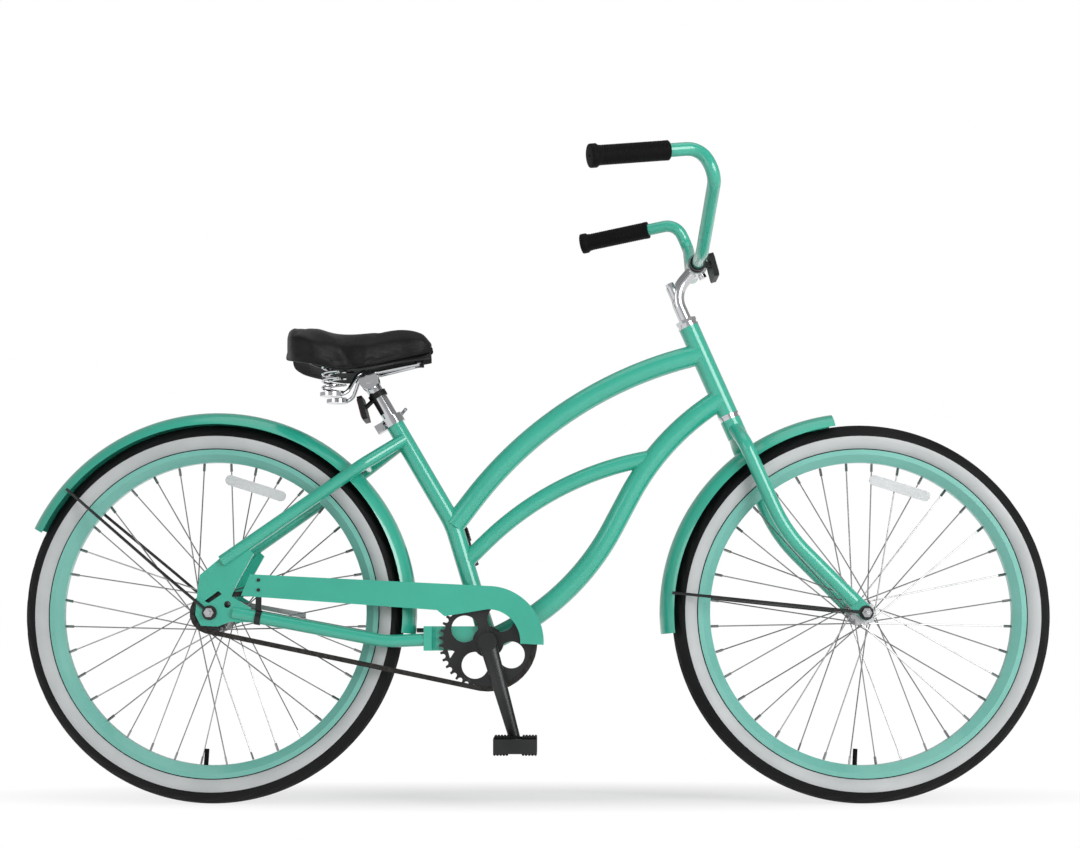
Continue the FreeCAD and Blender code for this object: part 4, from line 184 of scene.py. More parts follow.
class Effects:
    """Shader node groups that several finishes share."""

    TONE_EDGES = (0.3, 0.7)
    GLOSS_EDGES = (0.25, 0.75)
    SCRATCH_STRETCH = (1.0, 6.0, 0.35)
    SCRATCH_TURN = (0.4, 0.2, 0.9)
    CREST_EDGES = (0.62, 0.7)
    PATCH_EDGES = (0.5, 0.65)
    CELL_WARP = (0.003, 0.003, 0.003)
    CELL_SLOPE = (0.0, 0.25)

    def __init__(self) -> None:
        """Builds each group once."""
        self.mottle = self._mottle()
        self.scuffs = self._scuffs()
        self.grain = self._grain()

    @staticmethod
    def _group(
        name: str, inputs: Sequence[tuple[str, float]], outputs: Sequence[str]
    ) -> tuple[Board, bpy.types.Node, bpy.types.Node]:
        """Starts a group.

        Args:
            name: The group's name.
            inputs: Names and usual values of its number inputs.
            outputs: Names of its number outputs.

        Returns:
            The board, and the group's input and output nodes.
        """
        tree = bpy.data.node_groups.new(name, "ShaderNodeTree")
        for label, value in inputs:
            socket = tree.interface.new_socket(label, in_out="INPUT", socket_type="NodeSocketFloat")
            socket.default_value = value
        for label in outputs:
            tree.interface.new_socket(label, in_out="OUTPUT", socket_type="NodeSocketFloat")
        board = Board(tree)
        return board, tree.nodes.new("NodeGroupInput"), tree.nodes.new("NodeGroupOutput")

    def _mottle(self) -> bpy.types.NodeTree:
        """Broad and fine unevenness, for tone, gloss and a rippled surface."""
        sizes = [("Broad", 9.0), ("Fine", 420.0)]
        board, start, end = self._group("mottle", sizes, ["Tone", "Gloss", "Height"])
        where = board.add("TexCoord")
        broad = board.add("TexNoise", Detail=3.0)
        fine = board.add("TexNoise", Detail=2.0)
        board.join(where.outputs["Object"], broad.inputs["Vector"])
        board.join(where.outputs["Object"], fine.inputs["Vector"])
        board.join(start.outputs["Broad"], broad.inputs["Scale"])
        board.join(start.outputs["Fine"], fine.inputs["Scale"])
        board.join(board.ramp(broad.outputs[0], *self.TONE_EDGES, 0.0, 1.0), end.inputs["Tone"])
        board.join(board.ramp(fine.outputs[0], *self.GLOSS_EDGES, 0.0, 1.0), end.inputs["Gloss"])
        board.join(fine.outputs[0], end.inputs["Height"])
        return board.tree

    def _scuffs(self) -> bpy.types.NodeTree:
        """Thin hairline marks in broken patches."""
        board, start, end = self._group("scuffs", [("Scale", 60.0), ("Amount", 0.5)], ["Mask"])
        where = board.add("TexCoord")
        stretch = board.add("Mapping", Scale=self.SCRATCH_STRETCH, Rotation=self.SCRATCH_TURN)
        board.join(where.outputs["Object"], stretch.inputs["Vector"])
        lines = board.add("TexNoise", Detail=6.0, Roughness=0.75)
        patches = board.add("TexNoise", Scale=14.0, Detail=2.0)
        board.join(stretch.outputs[0], lines.inputs["Vector"])
        board.join(where.outputs["Object"], patches.inputs["Vector"])
        board.join(start.outputs["Scale"], lines.inputs["Scale"])
        crest = board.ramp(lines.outputs[0], *self.CREST_EDGES, 0.0, 1.0)
        patch = board.ramp(patches.outputs[0], *self.PATCH_EDGES, 0.0, 1.0)
        both = board.add("Math", operation="MULTIPLY")
        scaled = board.add("Math", operation="MULTIPLY")
        board.join(crest, both.inputs[0])
        board.join(patch, both.inputs[1])
        board.join(both.outputs[0], scaled.inputs[0])
        board.join(start.outputs["Amount"], scaled.inputs[1])
        board.join(scaled.outputs[0], end.inputs["Mask"])
        return board.tree

    def _grain(self) -> bpy.types.NodeTree:
        """Pebbled cells, as on vinyl and rubber."""
        board, start, end = self._group("grain", [("Scale", 700.0)], ["Height"])
        where = board.add("TexCoord")
        warp = board.add("TexNoise", Scale=160.0, Detail=2.0)
        board.join(where.outputs["Object"], warp.inputs["Vector"])
        shift = board.add("VectorMath", operation="MULTIPLY_ADD")
        shift.inputs[1].default_value = self.CELL_WARP
        board.join(warp.outputs["Color"], shift.inputs[0])
        board.join(where.outputs["Object"], shift.inputs[2])
        cells = board.add("TexVoronoi", feature="DISTANCE_TO_EDGE")
        board.join(shift.outputs[0], cells.inputs["Vector"])
        board.join(start.outputs["Scale"], cells.inputs["Scale"])
        board.join(board.ramp(cells.outputs["Distance"], *self.CELL_SLOPE, 0.0, 1.0), end.inputs["Height"])
        return board.tree


@dataclass(frozen=True)
class Finish:
    """A surface finish: two tones that drift, gloss that varies, a fine relief and hairline marks."""

    name: str
    tone: Colour
    second_tone: Colour
    smooth: float
    rough: float
    metal: float = 0.0
    coat: float = 0.0
    coat_roughness: float = 0.05
    relief: float = 0.05
    relief_depth: float = 0.0004
    broad: float = 9.0
    fine: float = 420.0
    grain: float = 0.0
    marks: float = 0.0
    mark_tone: Colour = (0.5, 0.5, 0.5)
    specular: float = 0.5

    def material(self, effects: Effects) -> bpy.types.Material:
        """Makes the material.

        Args:
            effects: The shared node groups.

        Returns:
            The finished material.
        """
        material = bpy.data.materials.new(self.name)
        material.use_nodes = True
        board = Board(material.node_tree)
        shader = material.node_tree.nodes["Principled BSDF"]
        shader.inputs["Metallic"].default_value = self.metal
        shader.inputs["Coat Weight"].default_value = self.coat
        shader.inputs["Coat Roughness"].default_value = self.coat_roughness
        shader.inputs["Specular IOR Level"].default_value = self.specular
        mottle = board.add("Group")
        mottle.node_tree = effects.mottle
        mottle.inputs["Broad"].default_value = self.broad
        mottle.inputs["Fine"].default_value = self.fine
        colour = board.blend(mottle.outputs["Tone"], self.tone, self.second_tone)
        roughness = board.ramp(mottle.outputs["Gloss"], 0.0, 1.0, self.smooth, self.rough)
        if self.marks:
            scuffs = board.add("Group")
            scuffs.node_tree = effects.scuffs
            scuffs.inputs["Amount"].default_value = self.marks
            colour = board.blend(scuffs.outputs["Mask"], colour, self.mark_tone)
        height = mottle.outputs["Height"]
        if self.grain:
            pebbles = board.add("Group")
            pebbles.node_tree = effects.grain
            pebbles.inputs["Scale"].default_value = self.grain
            height = pebbles.outputs["Height"]
        bump = board.add("Bump", Strength=self.relief, Distance=self.relief_depth)
        board.join(height, bump.inputs["Height"])
        board.join(colour, shader.inputs["Base Color"])
        board.join(roughness, shader.inputs["Roughness"])
        board.join(bump.outputs["Normal"], shader.inputs["Normal"])
        return material


class Coat(Enum):
    """The finishes of this bicycle."""

    FRAME_PAINT = Finish(
        "frame_paint", (0.026, 0.430, 0.300), (0.033, 0.470, 0.330), 0.28, 0.34, coat=1.0,
        coat_roughness=0.06, relief=0.012, fine=150.0, marks=0.03, mark_tone=(0.25, 0.62, 0.52),
    )
    RIM_PAINT = Finish(
        "rim_paint", (0.165, 0.50, 0.42), (0.20, 0.55, 0.47), 0.26, 0.36, coat=0.6, coat_roughness=0.1,
        relief=0.04,
    )
    CHROME = Finish(
        "chrome", (0.56, 0.57, 0.59), (0.64, 0.64, 0.66), 0.06, 0.14, metal=1.0, relief=0.02, marks=0.25,
        mark_tone=(0.45, 0.45, 0.46),
    )
    SATIN_STEEL = Finish(
        "satin_steel", (0.50, 0.51, 0.52), (0.62, 0.62, 0.63), 0.22, 0.38, metal=1.0, relief=0.05, marks=0.3,
        mark_tone=(0.35, 0.35, 0.36),
    )
    SPOKE_STEEL = Finish(
        "spoke_steel", (0.24, 0.245, 0.25), (0.34, 0.34, 0.345), 0.16, 0.3, metal=1.0, relief=0.02,
        broad=40.0,
    )
    DARK_STEEL = Finish(
        "dark_steel", (0.028, 0.029, 0.030), (0.050, 0.051, 0.052), 0.24, 0.42, metal=0.85, relief=0.06,
        marks=0.35, mark_tone=(0.2, 0.2, 0.205),
    )
    OILED_STEEL = Finish(
        "oiled_steel", (0.020, 0.019, 0.018), (0.055, 0.052, 0.048), 0.2, 0.5, metal=0.8, relief=0.1,
        broad=120.0,
    )
    TREAD_RUBBER = Finish(
        "tread_rubber", (0.004, 0.004, 0.0045), (0.009, 0.009, 0.010), 0.55, 0.75, relief=0.25, fine=700.0,
        specular=0.2,
    )
    WHITEWALL = Finish(
        "whitewall", (0.52, 0.54, 0.545), (0.60, 0.615, 0.62), 0.5, 0.68, relief=0.12, fine=600.0, broad=14.0,
        marks=0.12, mark_tone=(0.35, 0.35, 0.34), specular=0.35,
    )
    GRIP_RUBBER = Finish(
        "grip_rubber", (0.003, 0.003, 0.0033), (0.006, 0.006, 0.0066), 0.5, 0.7, relief=0.3, grain=1500.0,
        relief_depth=0.0003, specular=0.1,
    )
    SADDLE_VINYL = Finish(
        "saddle_vinyl", (0.005, 0.005, 0.0055), (0.009, 0.009, 0.010), 0.30, 0.42, relief=0.3, grain=900.0,
        relief_depth=0.0003, broad=16.0, specular=0.18,
    )
    BLACK_PLASTIC = Finish(
        "black_plastic", (0.005, 0.005, 0.0055), (0.009, 0.009, 0.010), 0.4, 0.55, relief=0.15, grain=2200.0,
        relief_depth=0.0002, specular=0.3,
    )
    CLEAR_LENS = Finish(
        "clear_lens", (0.60, 0.63, 0.64), (0.72, 0.74, 0.75), 0.12, 0.3, relief=0.5, grain=420.0,
        relief_depth=0.0006, coat=1.0,
    )
    RED_LENS = Finish(
        "red_lens", (0.25, 0.008, 0.008), (0.36, 0.014, 0.012), 0.12, 0.3, relief=0.5, grain=420.0,
        relief_depth=0.0006, coat=1.0,
    )


class Palette:
    """The materials of all finishes, made once."""

    def __init__(self) -> None:
        """Builds the shared groups and every material."""
        effects = Effects()
        self._made = {coat: coat.value.material(effects) for coat in Coat}

    def dress(self, piece: bpy.types.Object, *coats: Coat) -> None:
        """Gives a piece its material slots, in order."""
        if piece.data.materials:
            piece.data.materials.clear()
        for coat in coats:
            piece.data.materials.append(self._made[coat])


def piece_from(name: str, mesh: bpy.types.Mesh) -> bpy.types.Object:
    """Puts a mesh into the scene as an object.

    Args:
        name: The piece's name.
        mesh: Its mesh, in the row frame.

    Returns:
        The new object.
    """
    piece = bpy.data.objects.new(name, mesh)
    bpy.context.scene.collection.objects.link(piece)
    return piece


def smooth_by_angle(mesh: bpy.types.Mesh, degrees: float) -> None:
    """Shades a mesh smooth, with edges sharper than an angle kept sharp."""
    mesh.shade_smooth()
    work = bmesh.new()
    work.from_mesh(mesh)
    limit = math.radians(degrees)
    for edge in work.edges:
        edge.smooth = len(edge.link_faces) != 2 or edge.calc_face_angle(0.0) < limit
    work.to_mesh(mesh)
    work.free()


def strip_of(name: str, rings: Sequence[Sequence[Vector]], closed: bool) -> bpy.types.Object:
    """Skins rings of points into a tube.

    Args:
        name: The piece's name.
        rings: Rings with the same number of points, in order along the piece.
        closed: True if the last ring joins the first, False for flat ends.

    Returns:
        The piece, with its faces turned outward.
    """
    count = len(rings[0])
    faces: list[tuple[int, ...]] = []
    for step in range(len(rings) if closed else len(rings) - 1):
        here, there = step * count, (step + 1) % len(rings) * count
        for index in range(count):
            following = (index + 1) % count
            faces.append((here + index, here + following, there + following, there + index))
    if not closed:
        faces += [tuple(reversed(range(count))), tuple(range((len(rings) - 1) * count, len(rings) * count))]
    mesh = bpy.data.meshes.new(name)
    mesh.from_pydata([point for ring in rings for point in ring], [], faces)
    work = bmesh.new()
    work.from_mesh(mesh)
    bmesh.ops.recalc_face_normals(work, faces=work.faces)
    work.to_mesh(mesh)
    work.free()
    return piece_from(name, mesh)


def lathe(
    name: str,
    profile: Sequence[tuple[float, float]],
    steps: int,
    place: Matrix,
    shift: Callable[[int, int], float] | None = None,
    band: Callable[[float], int] | None = None,
) -> bpy.types.Object:
    """Turns a closed profile about the local Z axis.

    Args:
        name: The piece's name.
        profile: Radius and height of each point, in order round the section.
        steps: Steps round the turn.
        place: Where local Z goes.
        shift: How far a point moves along its radius, from its step and its place in the profile.
        band: Material index from a face's radius.

    Returns:
        The turned piece.
    """
    rings = []
    for step in range(steps):
        turn = 2 * math.pi * step / steps
        ring = []
        for index, (radius, height) in enumerate(profile):
            reach = radius + (shift(step, index) if shift else 0.0)
            ring.append(place @ Vector((reach * math.cos(turn), reach * math.sin(turn), height)))
        rings.append(ring)
    piece = strip_of(name, rings, closed=True)
    if band:
        spans = zip(profile, [*profile[1:], profile[0]])
        bands = [band((here[0] + there[0]) / 2) for here, there in spans]
        piece.data.polygons.foreach_set("material_index", bands * steps)
    return piece


def arc_points(
    start: tuple[float, float], end: tuple[float, float], radius: float, side: int, count: int
) -> list[tuple[float, float]]:
    """Points of an arc under half a circle, without its last point.

    Args:
        start: Its first point.
        end: Its last point.
        radius: Its radius.
        side: 1 to bulge to the right of the way, -1 to the left.
        count: Points to give.

    Returns:
        The points, in order.
    """
    first, last = Vector(start), Vector(end)
    chord = last - first
    normal = Vector((chord.y, -chord.x)).normalized() * side
    centre = (first + last) / 2 - normal * math.sqrt(max(radius**2 - (chord.length / 2) ** 2, 0.0))
    begin = math.atan2(first.y - centre.y, first.x - centre.x)
    finish = math.atan2(last.y - centre.y, last.x - centre.x)
    sweep = (finish - begin + math.pi) % (2 * math.pi) - math.pi
    turns = [begin + sweep * index / count for index in range(count)]
    return [(centre.x + radius * math.cos(turn), centre.y + radius * math.sin(turn)) for turn in turns]


def towards(axis: Vector, at: Vector) -> Matrix:
    """A matrix that takes local Z to an axis at a point."""
    return Matrix.Translation(at) @ axis.to_track_quat("Z", "Y").to_matrix().to_4x4()


@dataclass
class Tyre:
    """A balloon tyre with a white side band and a cut tread."""

    body: str
    node: str
    radius: float = 0.330
    shoulder: float = 0.307
    half_width: float = 0.0265
    edge: float = 0.2862
    bead: float = 0.2796
    bead_half: float = 0.0152
    bead_inside: float = 0.011
    crown_thickness: float = 0.008
    side_arc: float = 0.024
    side_points: int = 9
    band_inner: float = 0.2872
    band_outer: float = 0.3085
    tread_points: int = 40
    tread_reach: int = 16
    groove: float = 0.0013
    groove_rows: tuple[int, int] = (3, 9)
    cut_pitch: int = 8
    cut_width: int = 2
    steps: int = 288
    sharp_angle: float = 40.0

    def build(self, palette: Palette) -> bpy.types.Object:
        """Makes the tyre in place of its solid.

        Args:
            palette: The finishes.

        Returns:
            The tyre.
        """
        low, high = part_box(self.node)
        place = Matrix.Translation((low + high) / 2) @ Matrix.Rotation(-math.pi / 2, 4, "X")
        tyre = lathe(self.node + "_rubber", self._profile(), self.steps, place, self._cut, self._band)
        smooth_by_angle(tyre.data, self.sharp_angle)
        self.dress(tyre, palette)
        return tyre

    def dress(self, tyre: bpy.types.Object, palette: Palette) -> None:
        """Gives the tyre its rubber and its white band, and sets it on its wheel."""
        palette.dress(tyre, Coat.TREAD_RUBBER, Coat.WHITEWALL)
        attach(tyre, self.body)
        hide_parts(self.node)

    def _profile(self) -> list[tuple[float, float]]:
        """The section: from the right bead over the tread to the left bead, and back inside."""
        depth = self.radius - self.shoulder
        tread_arc = (self.half_width**2 + depth**2) / (2 * depth)
        right, left = (self.shoulder, -self.half_width), (self.shoulder, self.half_width)
        return [
            (self.bead, -self.bead_half),
            *arc_points((self.edge, -self.bead_half), right, self.side_arc, 1, self.side_points),
            *arc_points(right, left, tread_arc, 1, self.tread_points),
            *arc_points(left, (self.edge, self.bead_half), self.side_arc, 1, self.side_points),
            (self.edge, self.bead_half),
            (self.bead, self.bead_half),
            (self.bead, self.bead_inside),
            (self.radius - self.crown_thickness, 0.0),
            (self.bead, -self.bead_inside),
        ]

    def _cut(self, step: int, index: int) -> float:
        """The tread's grooves: rings round the tyre, and slanting cuts between them."""
        across = abs(index - 1 - self.side_points - self.tread_points // 2)
        if across > self.tread_reach:
            return 0.0
        slant = (step + across) % self.cut_pitch < self.cut_width and across > self.groove_rows[0]
        return -self.groove if across in self.groove_rows or slant else 0.0

    def _band(self, radius: float) -> int:
        """The material of a face: 1 in the white band, else 0."""
        return 1 if self.band_inner < radius < self.band_outer else 0


@dataclass(frozen=True)
class BraceTube:
    """The lower bent tube of the frame, from the down tube's upper bend to the seat tube."""

    node: str = "brace_tube"
    body: str = "frame"
    corners: tuple[Point, ...] = ((-0.124, 0.0, 0.423), (0.0224, 0.0, 0.5669), (0.205, 0.0, 0.604))
    bend: float = 0.54
    radius: float = 0.0143
    sides: int = 48
    steps: int = 60
    sharp_angle: float = 40.0

    def build(self, palette: Palette) -> bpy.types.Object:
        """Sweeps the tube in place of its solid, into the tubes at its ends.

        Args:
            palette: The finishes.

        Returns:
            The tube.
        """
        across = Vector((0.0, 1.0, 0.0))
        turns = [2 * math.pi * step / self.sides for step in range(self.sides)]
        rings = []
        for at, way in self._line():
            up = way.cross(across)
            spokes = [across * math.cos(turn) + up * math.sin(turn) for turn in turns]
            rings.append([at + spoke * self.radius for spoke in spokes])
        tube = strip_of("brace_tube_painted", rings, closed=False)
        smooth_by_angle(tube.data, self.sharp_angle)
        self.dress(tube, palette)
        return tube

    def dress(self, tube: bpy.types.Object, palette: Palette) -> None:
        """Paints the tube and sets it in the frame."""
        palette.dress(tube, Coat.FRAME_PAINT)
        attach(tube, self.body)
        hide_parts(self.node)

    def _line(self) -> list[tuple[Vector, Vector]]:
        """Points along the middle line, each with the way that the tube runs there."""
        first, corner, last = (Vector(at) for at in self.corners)
        into, out = (corner - first).normalized(), (last - corner).normalized()
        turn = into.angle(out)
        axis = into.cross(out).normalized()
        start = corner - into * (self.bend * math.tan(turn / 2))
        arm = into.cross(axis) * self.bend
        spins = [Matrix.Rotation(turn * step / self.steps, 3, axis) for step in range(self.steps + 1)]
        return [(first, into), *((start - arm + spin @ arm, spin @ into) for spin in spins), (last, out)]


@dataclass
class Grip:
    """A rubber grip with fine rings, a flared end and a vent in its end wall."""

    side: Side
    body: str = "handlebar"
    node: str = "grips"
    inner: float = 0.01125
    outer: float = 0.0163
    flange: float = 0.0194
    length: float = 0.132
    flange_length: float = 0.008
    end_wall: float = 0.0039
    bar_gap: float = 0.0002
    mouth_edge: float = 0.0012
    plain_mouth: float = 0.009
    plain_neck: float = 0.007
    neck_run: float = 0.002
    neck_rise: float = 0.0022
    rounding: float = 0.0006
    flange_edge: float = 0.001
    rim_edge: float = 0.0018
    rim_round: float = 0.002
    vent: float = 0.0022
    vent_lip: float = 0.0005
    vent_dish: float = 0.0004
    vent_edge: float = 0.0009
    ring_depth: float = 0.0007
    ring_course: tuple[tuple[float, float], ...] = ((0.0, 0.0), (0.28, 1.0), (0.52, 1.0), (0.8, 0.0))
    rings: int = 26
    steps: int = 64
    sharp_angle: float = 34.0
    elbow: Point = (0.26458, 0.268, 1.08324)
    tip: Point = (0.08658, 0.320, 1.05624)

    def build(self, palette: Palette) -> bpy.types.Object:
        """Makes the grip on its bar end.

        Args:
            palette: The finishes.

        Returns:
            The grip.
        """
        mirror = Matrix.Diagonal((1.0, float(self.side.value), 1.0)).to_4x4()
        tip, elbow = mirror @ Vector(self.tip), mirror @ Vector(self.elbow)
        name = f"grip_{self.side.name.lower()}"
        grip = lathe(name, self._profile(), self.steps, towards((tip - elbow).normalized(), tip))
        smooth_by_angle(grip.data, self.sharp_angle)
        self.dress(grip, palette)
        return grip

    def dress(self, grip: bpy.types.Object, palette: Palette) -> None:
        """Gives the grip its rubber and sets it on the bar."""
        palette.dress(grip, Coat.GRIP_RUBBER)
        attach(grip, self.body)
        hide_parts(self.node)

    def _profile(self) -> list[tuple[float, float]]:
        """The section: from the mouth along the rings to the flange and the vent."""
        mouth, neck, wall = -self.length, -self.flange_length, self.end_wall
        profile = [(self.inner, self.bar_gap), (self.inner, mouth), (self.outer - self.mouth_edge, mouth)]
        profile.append((self.outer, mouth + self.mouth_edge))
        first, last = mouth + self.plain_mouth, neck - self.plain_neck
        pitch = (last - first) / self.rings
        for index in range(self.rings):
            start = first + pitch * index
            for along, drop in self.ring_course:
                profile.append((self.outer - drop * self.ring_depth, start + pitch * along))
        return profile + [
            (self.outer, last + self.neck_run),
            (self.outer + self.rounding, neck - self.neck_rise),
            (self.flange - self.rounding, neck),
            (self.flange, neck + self.flange_edge),
            (self.flange, wall - self.rim_edge),
            (self.flange - self.rounding, wall - self.rounding),
            (self.flange - self.rim_round, wall),
            (self.vent + self.vent_lip, wall - self.vent_dish),
            (self.vent, wall - self.vent_edge),
            (self.vent, self.bar_gap),
        ]


@dataclass
class PedalBlocks:
    """Two rubber blocks of a pedal, with rounded edges and grooves across their treads."""

    side: Side
    turn: float
    length: float = 0.025
    width: float = 0.0856
    height: float = 0.030
    spread: float = 0.072
    groove: float = 0.0016
    groove_course: tuple[tuple[float, float], ...] = ((0.28, 0.0), (0.4, 1.0), (0.6, 1.0), (0.72, 0.0))
    grooves: int = 4
    edge: float = 0.002
    bevel_share: float = 0.3
    end_scale: float = 0.93
    sharp_angle: float = 30.0

    def build(self, palette: Palette) -> list[bpy.types.Object]:
        """Makes both blocks about the pedal's spindle.

        Args:
            palette: The finishes.

        Returns:
            The blocks.
        """
        word = self.side.name.lower()
        node = f"pedal_{word}_blocks"
        low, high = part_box(node)
        place = Matrix.Translation((low + high) / 2) @ Matrix.Rotation(math.radians(self.turn), 4, "Y")
        upper = self._tread()
        section = upper + [(along, -up) for along, up in reversed(upper)]
        half = self.width / 2
        full = [(across, 1.0) for across in (-half + self.edge, 0.0, half - self.edge)]
        ends = [(-half, self.end_scale), *full, (half, self.end_scale)]
        made = []
        for index, middle in enumerate(((self.length - self.spread) / 2, (self.spread - self.length) / 2)):
            rings = [
                [place @ Vector((middle + along * scale, across, up * scale)) for along, up in section]
                for across, scale in ends
            ]
            block = strip_of(f"pedal_{word}_rubber_{index}", rings, closed=False)
            smooth_by_angle(block.data, self.sharp_angle)
            self.dress(block, palette, f"pedal_{word}", node)
            made.append(block)
        return made

    @staticmethod
    def dress(block: bpy.types.Object, palette: Palette, body: str, node: str) -> None:
        """Gives a block its rubber and sets it on its pedal."""
        palette.dress(block, Coat.GRIP_RUBBER)
        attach(block, body)
        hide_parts(node)

    def _tread(self) -> list[tuple[float, float]]:
        """Half of the section: along the top from the back edge to the front edge."""
        half, top, bevel = self.length / 2, self.height / 2, self.edge * self.bevel_share
        points = [(-half, top - self.edge), (-half + bevel, top - bevel), (-half + self.edge, top)]
        pitch = (self.length - 2 * self.edge) / self.grooves
        for index in range(self.grooves):
            start = -half + self.edge + pitch * index
            for along, drop in self.groove_course:
                points.append((start + pitch * along, top - drop * self.groove))
        return points + [(half - self.edge, top), (half - bevel, top - bevel), (half, top - self.edge)]


@dataclass
class Lens:
    """A reflector's lens: a rounded plate with a raised border, set on the face of its housing."""

    name: str
    body: str
    at: Point
    facing: int
    coat: Coat
    slot: str
    lean: float = 15.0
    half_width: float = 0.0335
    half_height: float = 0.0175
    corner: float = 0.006
    least_corner: float = 0.001
    corner_steps: int = 5
    # How far each ring of the border is drawn in, and how far it stands out.
    border: tuple[tuple[float, float], ...] = (
        (0.0, -0.001), (0.0, 0.00084), (0.0008, 0.0014), (0.0022, 0.0014), (0.0028, 0.0006),
    )
    sharp_angle: float = 30.0

    def build(self, palette: Palette) -> bpy.types.Object:
        """Makes the lens.

        Args:
            palette: The finishes.

        Returns:
            The lens.
        """
        place = Matrix.Translation(Vector(self.at)) @ Matrix.Rotation(math.radians(-self.lean), 4, "Y")
        rings = [
            [place @ Vector((self.facing * out, across, up)) for across, up in self._outline(inset)]
            for inset, out in self.border
        ]
        lens = strip_of(self.name, rings, closed=False)
        smooth_by_angle(lens.data, self.sharp_angle)
        self.dress(lens, palette)
        return lens

    def dress(self, lens: bpy.types.Object, palette: Palette) -> None:
        """Colours the lens and sets it on its body."""
        palette.dress(lens, self.coat)
        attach(lens, self.body)

    def _outline(self, inset: float) -> list[tuple[float, float]]:
        """The rounded outline, drawn in by an amount."""
        points = []
        radius = max(self.corner - inset, self.least_corner)
        for quarter, (right, up) in enumerate(((1, 1), (-1, 1), (-1, -1), (1, -1))):
            middle = (right * (self.half_width - self.corner), up * (self.half_height - self.corner))
            for step in range(self.corner_steps + 1):
                turn = math.radians(90 * (quarter + step / self.corner_steps))
                points.append((middle[0] + radius * math.cos(turn), middle[1] + radius * math.sin(turn)))
        return points


